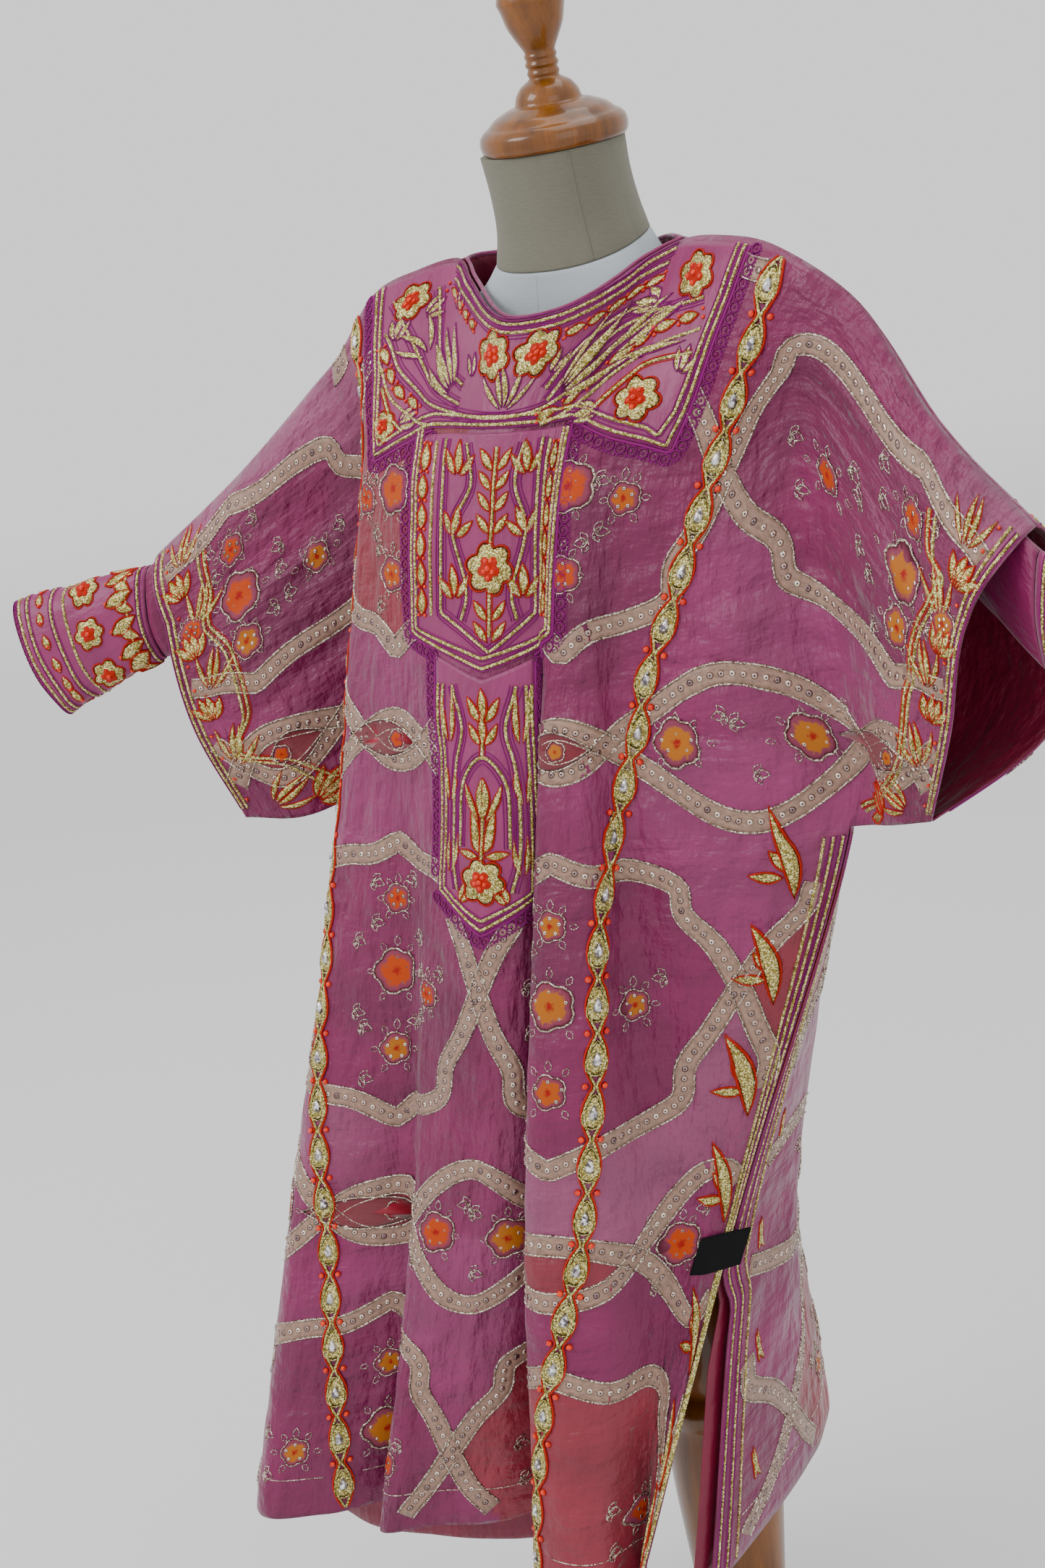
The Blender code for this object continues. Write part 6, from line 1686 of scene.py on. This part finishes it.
def lathe(name, profile, sides, node, place=None):
    """Turned wood: the profile, smoothed in steps; its radii times the cosine and sine of even angles."""
    last = len(profile) - 1
    fine = line_at(np.linspace(0, last, LATHE_STEPS * last + 1), np.arange(last + 1), np.array(profile))
    for _ in range(LATHE_BLURS):
        fine[1:-1] = (fine[:-2] + 2 * fine[1:-1] + fine[2:]) / 4
    angle = 2 * pi * np.arange(sides) / sides
    height, radius = fine[:, :1], np.maximum(fine[:, 1:], LATHE_LEAST)
    places = np.stack(np.broadcast_arrays(radius * np.cos(angle), radius * np.sin(angle), height), axis=2)
    stock = Stock()
    stock.add(places, tube_faces(len(fine), sides), marks_of(angle[None] / (2 * pi), height))
    thing = stock.piece(name, "honey_wood")
    if place:
        thing.data.transform(place)
    settle(thing, node, slot="turned_wood")


def form_piece(name, sections, finish, seams):
    """Cover of the dress form: rounded oblongs, lowered at the front by the tilt, with fine seams."""
    table = smooth_line(np.arange(len(sections)), sections, np.linspace(0, len(sections) - 1, FORM_ROWS))
    drop, middle, half, front, back, tilt = (table[:, k, None] for k in range(6))
    angle = 2 * pi * np.arange(FORM_FINE_SIDES) / FORM_FINE_SIDES
    c, s = np.cos(angle), np.sin(angle)
    grow = (np.abs(c) ** FORM_POWER + np.abs(s) ** FORM_POWER) ** (-1 / FORM_POWER)
    y = np.where(s < 0, front, back) * s * grow
    places = np.stack([half * c * grow, y + middle, SHOULDER_HEIGHT + y * tilt - drop], axis=2)
    level = places[:, :, :2]
    radius = np.linalg.norm(level - level.mean(axis=1, keepdims=True), axis=2).mean()
    stock = Stock()
    marks = marks_of(angle[None] * radius, -places[:, :, 2])
    stock.add(places, tube_faces(FORM_ROWS, FORM_FINE_SIDES, True), marks)
    for turn in seams:
        line = places[1:-1, round(turn / 360 * FORM_FINE_SIDES) % FORM_FINE_SIDES]
        away = unit((line - places[1:-1].mean(axis=1)) * (1, 1, 0))
        side = np.cross(away, (0, 0, 1.0))
        out, over = FORM_SEAM[None, :, :1], FORM_SEAM[None, :, 1:]
        cord = line[:, None] + side[:, None] * out + away[:, None] * over
        stock.add(cord, [grid_faces(len(line), 4, True)], marks_of(np.zeros((1, 4)), line[:, 2:]))
    return stock.piece(name, finish)


CLOTHS = {}


def cloths(scene):
    """Front and back panels of the cloth, made once."""
    if not CLOTHS:
        CLOTHS["front"] = fine_panel(front_grid, -1, scene.thobe_sizes.front_cell)
        CLOTHS["back"] = fine_panel(back_grid, 1, scene.thobe_sizes.back_cell)
    return CLOTHS["front"], CLOTHS["back"]


def settle(thing, *nodes, slot=None):
    """Joins a piece to the body and hides the nodes that it stands for; the slot is not used."""
    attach(thing, "root")
    if nodes:
        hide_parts(*nodes)
    return thing


def aimed(place, back, roll=0.0):
    """Matrix that stands at a place with its back to the direction back, rolled by an angle."""
    back = unit(np.array(back))
    right = unit(np.cross((0, 0, 1.0), back))
    up = np.cross(back, right)
    right, up = cos(roll) * right - sin(roll) * up, sin(roll) * right + cos(roll) * up
    return Matrix([*zip(right, up, back, place), (0, 0, 0, 1)])


def staged(scene, name, data, matrix=None):
    """A floor, lamp or camera, put in the scene as part of the stage."""
    thing = bpy.data.objects.new(name, data)
    scene.collection.objects.link(thing)
    if matrix:
        thing.matrix_world = matrix
    return thing


# Sizes and colours


def length_property(label, text, value):
    return bpy.props.FloatProperty(name=label, description=text, default=value, min=0.0005, max=50.0,
                                   unit="LENGTH", precision=4)


def colour_property(label, text, red, green, blue):
    return bpy.props.FloatVectorProperty(name=label, description=text, default=tone(red, green, blue),
                                         size=3, min=0.0, max=1.0, subtype="COLOR")


class THOBE_PG_sizes(bpy.types.PropertyGroup):
    """Sizes that the operators share"""

    front_cell: length_property("Front cell", "Width of a cell of the front cloth", 0.0039)
    back_cell: length_property("Back cell", "Width of a cell of the back cloth", 0.0058)
    slip_cell: length_property("Slip cell", "Width of a cell of the slip", 0.0090)
    camera_out: length_property("Camera distance", "Level distance of the camera from the form", 1.6023)
    camera_up: length_property("Camera height", "Height of the camera over the shoulder line", 0.12349)
    floor_reach: length_property("Floor", "Half width of the studio floor", 40.0)


class THOBE_PG_colours(bpy.types.PropertyGroup):
    """Colours of the cloth, thread and beads"""

    magenta: colour_property("Magenta", "Main colour of the silk", 134, 20, 90)
    orchid: colour_property("Orchid", "Pale violet pink of the silk", 148, 54, 108)
    coral: colour_property("Coral", "Coral pink of the silk", 148, 46, 68)
    rose: colour_property("Rose", "Pink red of the almonds", 160, 24, 58)
    mauve: colour_property("Mauve", "Pale mauve of the silk", 156, 82, 120)
    taupe: colour_property("Taupe", "Raised bands of the print", 158, 128, 112)
    flower_rim: colour_property("Mauve rim", "Rim of the round flowers", 140, 70, 92)
    amber: colour_property("Amber", "Petals of the paler round flowers", 176, 112, 34)
    orange: colour_property("Orange", "Petals of the round flowers", 184, 76, 4)
    heart: colour_property("Heart", "Middle of the round flowers", 160, 16, 2)
    gold: colour_property("Gold", "Gold thread", 170, 152, 66)
    piping: colour_property("Piping", "Red orange cord", 214, 50, 6)
    lace: colour_property("Lace", "Purple lace", 168, 40, 140)
    lining: colour_property("Lining", "Plain inside of the cloth and the slip", 132, 10, 62)
    linen: colour_property("Linen", "Cover of the form's neck", 137, 135, 120)
    jersey: colour_property("Jersey", "Cover of the form's torso", 187, 194, 199)
    wood: colour_property("Wood", "Varnished wood", 128, 80, 4)
    bead: colour_property("Bead", "Orange glass", 204, 30, 0)


# Steps, in the order in which they run


class Step(bpy.types.Operator):
    """One step of the thobe"""

    bl_options = {"REGISTER", "UNDO"}


class THOBE_OT_dress(Step):
    """Front and back of the thobe in printed silk, with their plain inside"""

    bl_idname = "thobe.dress"
    bl_label = "Dress"

    def execute(self, context):
        front, back = cloths(context.scene)
        cloth_wall("silk_front", front, FRONT, -1, "dress_front")
        cloth_wall("silk_back", back, BACK, 1, "dress_back")
        return {"FINISHED"}


class THOBE_OT_slip(Step):
    """Plain magenta slip behind the folds and inside the back"""

    bl_idname = "thobe.slip"
    bl_label = "Slip"

    def execute(self, context):
        cell = context.scene.thobe_sizes.slip_cell
        knots = [line.flat for line in SLIP_FRONT]
        flats = np.linspace(knots[0], knots[-1], round((knots[-1] - knots[0]) / cell))
        levels = np.linspace(0, 2, round(SLIP_LONG / cell))
        rows = [[smooth_line((0, 1, 2), line[2:], [t])[0] for line in SLIP_FRONT] for t in levels]
        grid = np.array([smooth_line(knots, row, flats) for row in rows]) + (0, 0, SHOULDER_HEIGHT)
        self.sheet("front", flats, levels, grid, True)

        flats = np.linspace(BACK.side_right + SLIP_FROM_SEAM, BACK.side_left, round(SLIP_BACK_WIDE / cell))
        levels = np.linspace(SLIP_BACK_TOP, HEM_LEVEL, round(SLIP_LONG / cell))
        s, t = np.meshgrid(flats, levels)
        place, normal = cloths(context.scene)[1].at(s, t)
        behind = np.interp(t, (levels[0], levels[0] + SLIP_EASES), (SLIP_SEWN, SLIP_BEHIND)) + WALL_HALF
        grid = place - normal * behind[..., None]
        edge = unit(grid[:, -1] - grid[:, -4])
        share = np.clip((levels - SLIT_LEVEL) / SLIP_OPENS_OVER, 0, 1)[:, None]
        reach = SLIP_PAST_EDGE * share - SLIP_SHORT_OF_EDGE * (1 - share)
        grid[:, -3:] += (edge * reach)[:, None] * np.linspace(0, 1, 4)[1:, None]
        hem = np.clip((levels - HEM_LEVEL) / SLIP_HEM_EASES + 1, 0, 1)[:, None]
        grid[..., 2] += hem**2 * (SHOULDER_HEIGHT + SLIP_BACK_HEM - grid[-1, :, 2])
        self.sheet("back", flats, levels, grid, False)
        return {"FINISHED"}

    def sheet(self, side, flats, levels, grid, flip):
        """Thin sheet of plain silk from a grid of places."""
        stock, faces = Stock(), grid_faces(*grid.shape[:2], flip=flip)
        stock.add(grid, [faces], marks_of(flats[None], levels[:, None] * 0.27))
        sheet = thicken(stock.piece("slip_silk_" + side, "silk_lining"), LINING_THICK, 0.0)
        settle(sheet, "slip_" + side, slot="slip_silk")


class THOBE_OT_print(Step):
    """Raised bands, round flowers, sequins and sprigs of the print"""

    bl_idname = "thobe.print"
    bl_label = "Print"

    def execute(self, context):
        front, back = cloths(context.scene)
        for thing in print_pieces("front", front, covered) + print_pieces("back", back, nothing_hidden):
            settle(thing, slot="printed_silk")
        return {"FINISHED"}


class THOBE_OT_yoke(Step):
    """Yoke of silk with gold cords, flowers, leaf fans and bead rows"""

    bl_idname = "thobe.yoke"
    bl_label = "Yoke"

    def execute(self, context):
        names = ("yoke_silk", "yoke_needlework", "yoke")
        worked_panel(cloths(context.scene)[0], names, yoke_grid(), yoke_outline, YOKE_LINES, YOKE_FLOWERS,
                     YOKE_SPRAYS, YOKE_ROWS, PLUM)
        return {"FINISHED"}


class THOBE_OT_plackets(Step):
    """Two pointed panels under the yoke with gold borders, a stem, flowers and bead columns"""

    bl_idname = "thobe.plackets"
    bl_label = "Plackets"

    def execute(self, context):
        front = cloths(context.scene)[0]
        upper = (UPPER_RIGHT, UPPER_LEFT, UPPER_SHOULDER, UPPER_TIP)
        lower = (LOWER_RIGHT, LOWER_LEFT, LOWER_SHOULDER, LOWER_TIP)
        end = ((UPPER_RIGHT, UPPER_SHOULDER), UPPER_TIP, (UPPER_LEFT, UPPER_SHOULDER))
        for name, edges, above, top, work in (
            ("upper", upper, YOKE_BOTTOM, 0.100, (UPPER_LINES, UPPER_FLOWERS, UPPER_SPRAYS, UPPER_ROWS)),
            ("lower", lower, end, 0.262, (LOWER_LINES, LOWER_FLOWERS, LOWER_SPRAYS)),
        ):
            names = ("placket_silk_" + name, "placket_needlework_" + name, "placket_" + name)
            outline = partial(placket_outline, *edges, top)
            worked_panel(front, names, placket_grid(*edges, above), outline, *work)
        return {"FINISHED"}


class THOBE_OT_lace(Step):
    """Purple looped lace beside the yoke and the plackets"""

    bl_idname = "thobe.lace"
    bl_label = "Lace"

    def execute(self, context):
        for name, outward, path in (
            ("yoke_right", 1, YOKE_RIGHT_EDGE + YOKE_BOTTOM[1:3]),
            ("yoke_left", -1, YOKE_LEFT_EDGE + YOKE_BOTTOM[9:5:-1]),
            ("upper_right", 1, ((UPPER_RIGHT, 0.88), (UPPER_RIGHT, UPPER_SHOULDER), (LOWER_RIGHT, 1.78))),
            ("upper_left", -1, ((UPPER_LEFT, 0.81), (UPPER_LEFT, UPPER_SHOULDER), (LOWER_LEFT, 1.80))),
            ("lower_right", 1, ((LOWER_RIGHT, 1.82), (LOWER_RIGHT, 3.12))),
            ("lower_tip", -1, ((LOWER_LEFT, 1.84), (LOWER_LEFT, LOWER_SHOULDER), LOWER_TIP,
                               (LOWER_RIGHT, LOWER_SHOULDER))),
        ):
            stock = Stock(cloths(context.scene)[0])
            picot(stock, path, outward)
            settle(stock.piece("picot_" + name, "purple_thread"), "lace_" + name, slot="lace")
        return {"FINISHED"}


class THOBE_OT_chains(Step):
    """Bands of drop-shaped links from the shoulders to the hem"""

    bl_idname = "thobe.chains"
    bl_label = "Chains"

    def execute(self, context):
        for side, path in (("left", LEFT_CHAIN), ("right", RIGHT_CHAIN)):
            links = chain_piece("links_" + side, cloths(context.scene)[0], path)
            settle(links, "chain_" + side, slot="gold_braid")
        return {"FINISHED"}


class THOBE_OT_borders(Step):
    """Borders of the wide sleeves' openings and of the open side edge"""

    bl_idname = "thobe.borders"
    bl_label = "Borders"

    def execute(self, context):
        front, back = cloths(context.scene)
        for face, cloth in (("front", front), ("back", back)):
            for side in ("left", "right"):
                piece = border_piece(f"opening_{face}_{side}", cloth, side)
                settle(piece, f"mouth_{face}_{side}", slot="gold_braid")
        for face, cloth, fans in (("front", front, EDGE_SPRAYS), ("back", back, BACK_EDGE_SPRAYS)):
            edge = edge_piece("side_needlework_" + face, cloth, fans)
            settle(edge, f"edge_{face}_upper", f"edge_{face}_lower", slot="gold_braid")
        return {"FINISHED"}


class THOBE_OT_sleeves(Step):
    """Plain narrow inner sleeves and their embroidered cuffs"""

    bl_idname = "thobe.sleeves"
    bl_label = "Sleeves and cuffs"

    def execute(self, context):
        for side, sign, up in (("right", -1, 0.0), ("left", 1, LEFT_ARM_RAISE)):
            panel, flip, girth, length = sleeve_panel(INNER_SLEEVE, sign, up)
            sleeve = tube_piece("narrow_sleeve_" + side, panel, flip, "silk_magenta")
            settle(sleeve, "inner_sleeve_" + side, slot="printed_silk")
            panel, flip, girth, length = sleeve_panel(CUFF, sign, up)
            cuff = tube_piece("cuff_silk_" + side, panel, flip, "silk_ground")
            settle(cuff, "cuff_" + side, slot="embroidered_ground")
            trim = settle(cuff_trim("cuff_needlework_" + side, panel, girth, length), slot="gold_braid")
        return {"FINISHED"}


class THOBE_OT_binding(Step):
    """Rolled binding of the neck opening"""

    bl_idname = "thobe.binding"
    bl_label = "Neck binding"

    def execute(self, context):
        top = np.concatenate([
            FRONT.row(0, np.linspace(NECK_RIGHT, NECK_LEFT, 90)),
            BACK.row(0, np.linspace(NECK_LEFT, NECK_RIGHT, 60))[1:-1],
        ])
        for _ in range(2):
            top = (np.roll(top, 1, axis=0) + 2 * top + np.roll(top, -1, axis=0)) / 4
        away = unit(top * (1, 1, 0))
        loop = top - away * BINDING_INSIDE + (0, 0, BINDING_RAISE + SHOULDER_HEIGHT)
        along = unit(np.roll(loop, -1, axis=0) - np.roll(loop, 1, axis=0))
        up = unit(np.cross(along, away))
        angle = 2 * pi * np.arange(BINDING_SIDES) / BINDING_SIDES
        ring = away[:, None] * np.cos(angle)[None, :, None] + up[:, None] * np.sin(angle)[None, :, None]
        stock, faces = Stock(), loop_faces(len(loop), BINDING_SIDES)[:, [0, 3, 2, 1]]
        marks = marks_of(run_of(loop)[:, None], angle[None] / 300)
        stock.add(loop[:, None] + ring * BINDING_RADIUS, [faces], marks)
        settle(stock.piece("neck_cord", "silk_ground"), "neck_binding", slot="embroidered_ground")
        return {"FINISHED"}


class THOBE_OT_label(Step):
    """Plain black woven tab at the top of the side slit"""

    bl_idname = "thobe.label"
    bl_label = "Label"

    def execute(self, context):
        fine = np.linspace(FRONT.side_left, FRONT.side_left - 0.1, 400)
        lifts = np.array(LABEL_LIFTS)[:, None] - WALL_HALF
        rows = []
        front = cloths(context.scene)[0]
        for drop in np.linspace(*LABEL_DROPS, 9):
            place, normal = front.at(fine, np.full(400, level_of(drop)))
            far = np.linalg.norm(place - place[0], axis=1)
            chosen = [int(np.argmin(np.abs(far - reach))) for reach in LABEL_REACHES]
            row = place[chosen] + normal[chosen] * lifts
            past = row[-1] + unit(row[-1] - row[-2]) * LABEL_PAST
            rows.append(smooth_line(np.arange(5), [*row, past], np.linspace(0, 4, 17)))
        stock = Stock()
        wide, tall = LABEL_SIZE
        marks = marks_of(np.linspace(0, wide, 17)[None], np.linspace(0, tall, 9)[:, None])
        stock.add(np.array(rows), [grid_faces(9, 17, flip=True)], marks)
        tab = thicken(stock.piece("woven_tab", "label_weave"), LABEL_THICK, 0.0)
        settle(tab, "label", slot="woven_label")
        return {"FINISHED"}


class THOBE_OT_form(Step):
    """Linen neck and jersey torso of the dress form"""

    bl_idname = "thobe.form"
    bl_label = "Dress form"

    def execute(self, context):
        neck = form_piece("neck_cover", NECK_FORM, "linen", (315,))
        settle(neck, "form_neck", slot="linen_cover")
        torso = form_piece("torso_cover", TORSO_FORM, "jersey", (270, 90))
        settle(torso, "form_torso", slot="jersey_cover")
        return {"FINISHED"}


class THOBE_OT_wood(Step):
    """Turned cap with its finial, the column and the base"""

    bl_idname = "thobe.wood"
    bl_label = "Turned wood"

    def execute(self, context):
        foot = Matrix.Translation((*CAP_MIDDLE, SHOULDER_HEIGHT - CAP_DROP))
        foot = foot @ Matrix.Rotation(CAP_LEAN, 4, "X")
        lathe("turned_cap", CAP_PROFILE, 60, "neck_cap", foot)
        lathe("turned_column", COLUMN_PROFILE, 60, "column")
        lathe("turned_base", BASE_PROFILE, 96, "base")
        return {"FINISHED"}


class THOBE_OT_sheets(Step):
    """Step that does nothing"""

    bl_idname = "thobe.sheets"
    bl_label = "Sheets of cloth"

    def execute(self, context):
        return {"FINISHED"}


class THOBE_OT_stage(Step):
    """Pale floor, soft lights and the camera at the photograph's angle"""

    bl_idname = "thobe.stage"
    bl_label = "Stage"

    def execute(self, context):
        scene, sizes = context.scene, context.scene.thobe_sizes
        far = sizes.floor_reach
        mesh = bpy.data.meshes.new("floor")
        corners = [(-far, -far, 0), (far, -far, 0), (far, far, 0), (-far, far, 0)]
        mesh.from_pydata(corners, [], [(0, 1, 2, 3)])
        mesh.materials.append(finish_named("studio_floor"))
        staged(scene, "floor", mesh)
        world = bpy.data.worlds.new("studio")
        world.use_nodes = True
        background = world.node_tree.nodes["Background"]
        background.inputs["Color"].default_value = (*BACKDROP, 1.0)
        background.inputs["Strength"].default_value = WORLD_STRENGTH
        scene.world = world
        for row in LAMPS:
            lamp = bpy.data.lights.new(row.name, "AREA")
            lamp.energy, lamp.shape = row.watts, "RECTANGLE"
            lamp.size, lamp.size_y = row.wide, row.tall
            place = np.array((row.x, row.y, row.z))
            staged(scene, row.name, lamp, aimed(place, place - LAMP_AIM))
        turn, down = radians(CAMERA_TURN), radians(CAMERA_DOWN)
        back = (sin(turn) * cos(down), -cos(turn) * cos(down), sin(down))
        out, rise = sizes.camera_out, SHOULDER_HEIGHT + sizes.camera_up
        place = (sin(turn) * out + CAMERA_ASIDE[0], -cos(turn) * out + CAMERA_ASIDE[1], rise)
        lens = bpy.data.cameras.new("camera")
        lens.sensor_width, lens.lens, lens.clip_end = SENSOR, LENS, CAMERA_FAR
        scene.camera = staged(scene, "camera", lens, aimed(place, back, radians(CAMERA_ROLL)))
        return {"FINISHED"}


STEPS = (
    THOBE_OT_dress, THOBE_OT_slip, THOBE_OT_print, THOBE_OT_yoke, THOBE_OT_plackets, THOBE_OT_lace,
    THOBE_OT_chains, THOBE_OT_borders, THOBE_OT_sleeves, THOBE_OT_binding, THOBE_OT_label, THOBE_OT_form,
    THOBE_OT_wood, THOBE_OT_sheets, THOBE_OT_stage,
)


class THOBE_PT_panel(bpy.types.Panel):
    """Steps, sizes and colours of the thobe"""

    bl_label = "Thobe"
    bl_space_type = "VIEW_3D"
    bl_region_type = "UI"
    bl_category = "Thobe"

    def draw(self, context):
        column = self.layout.column(align=True)
        for step in STEPS:
            column.operator(step.bl_idname)
        for group in (context.scene.thobe_sizes, context.scene.thobe_colours):
            box = self.layout.box()
            for name in group.__annotations__:
                box.prop(group, name)


CLASSES = (THOBE_PG_sizes, THOBE_PG_colours) + STEPS + (THOBE_PT_panel,)


def register():
    for item in CLASSES:
        bpy.utils.register_class(item)
    bpy.types.Scene.thobe_sizes = bpy.props.PointerProperty(type=THOBE_PG_sizes)
    bpy.types.Scene.thobe_colours = bpy.props.PointerProperty(type=THOBE_PG_colours)


def unregister():
    del bpy.types.Scene.thobe_colours
    del bpy.types.Scene.thobe_sizes
    for item in reversed(CLASSES):
        bpy.utils.unregister_class(item)


def main():
    """Registers the add-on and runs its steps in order."""
    register()
    for step in STEPS:
        group, name = step.bl_idname.split(".")
        getattr(getattr(bpy.ops, group), name)()


if __name__ == "__main__":
    main()
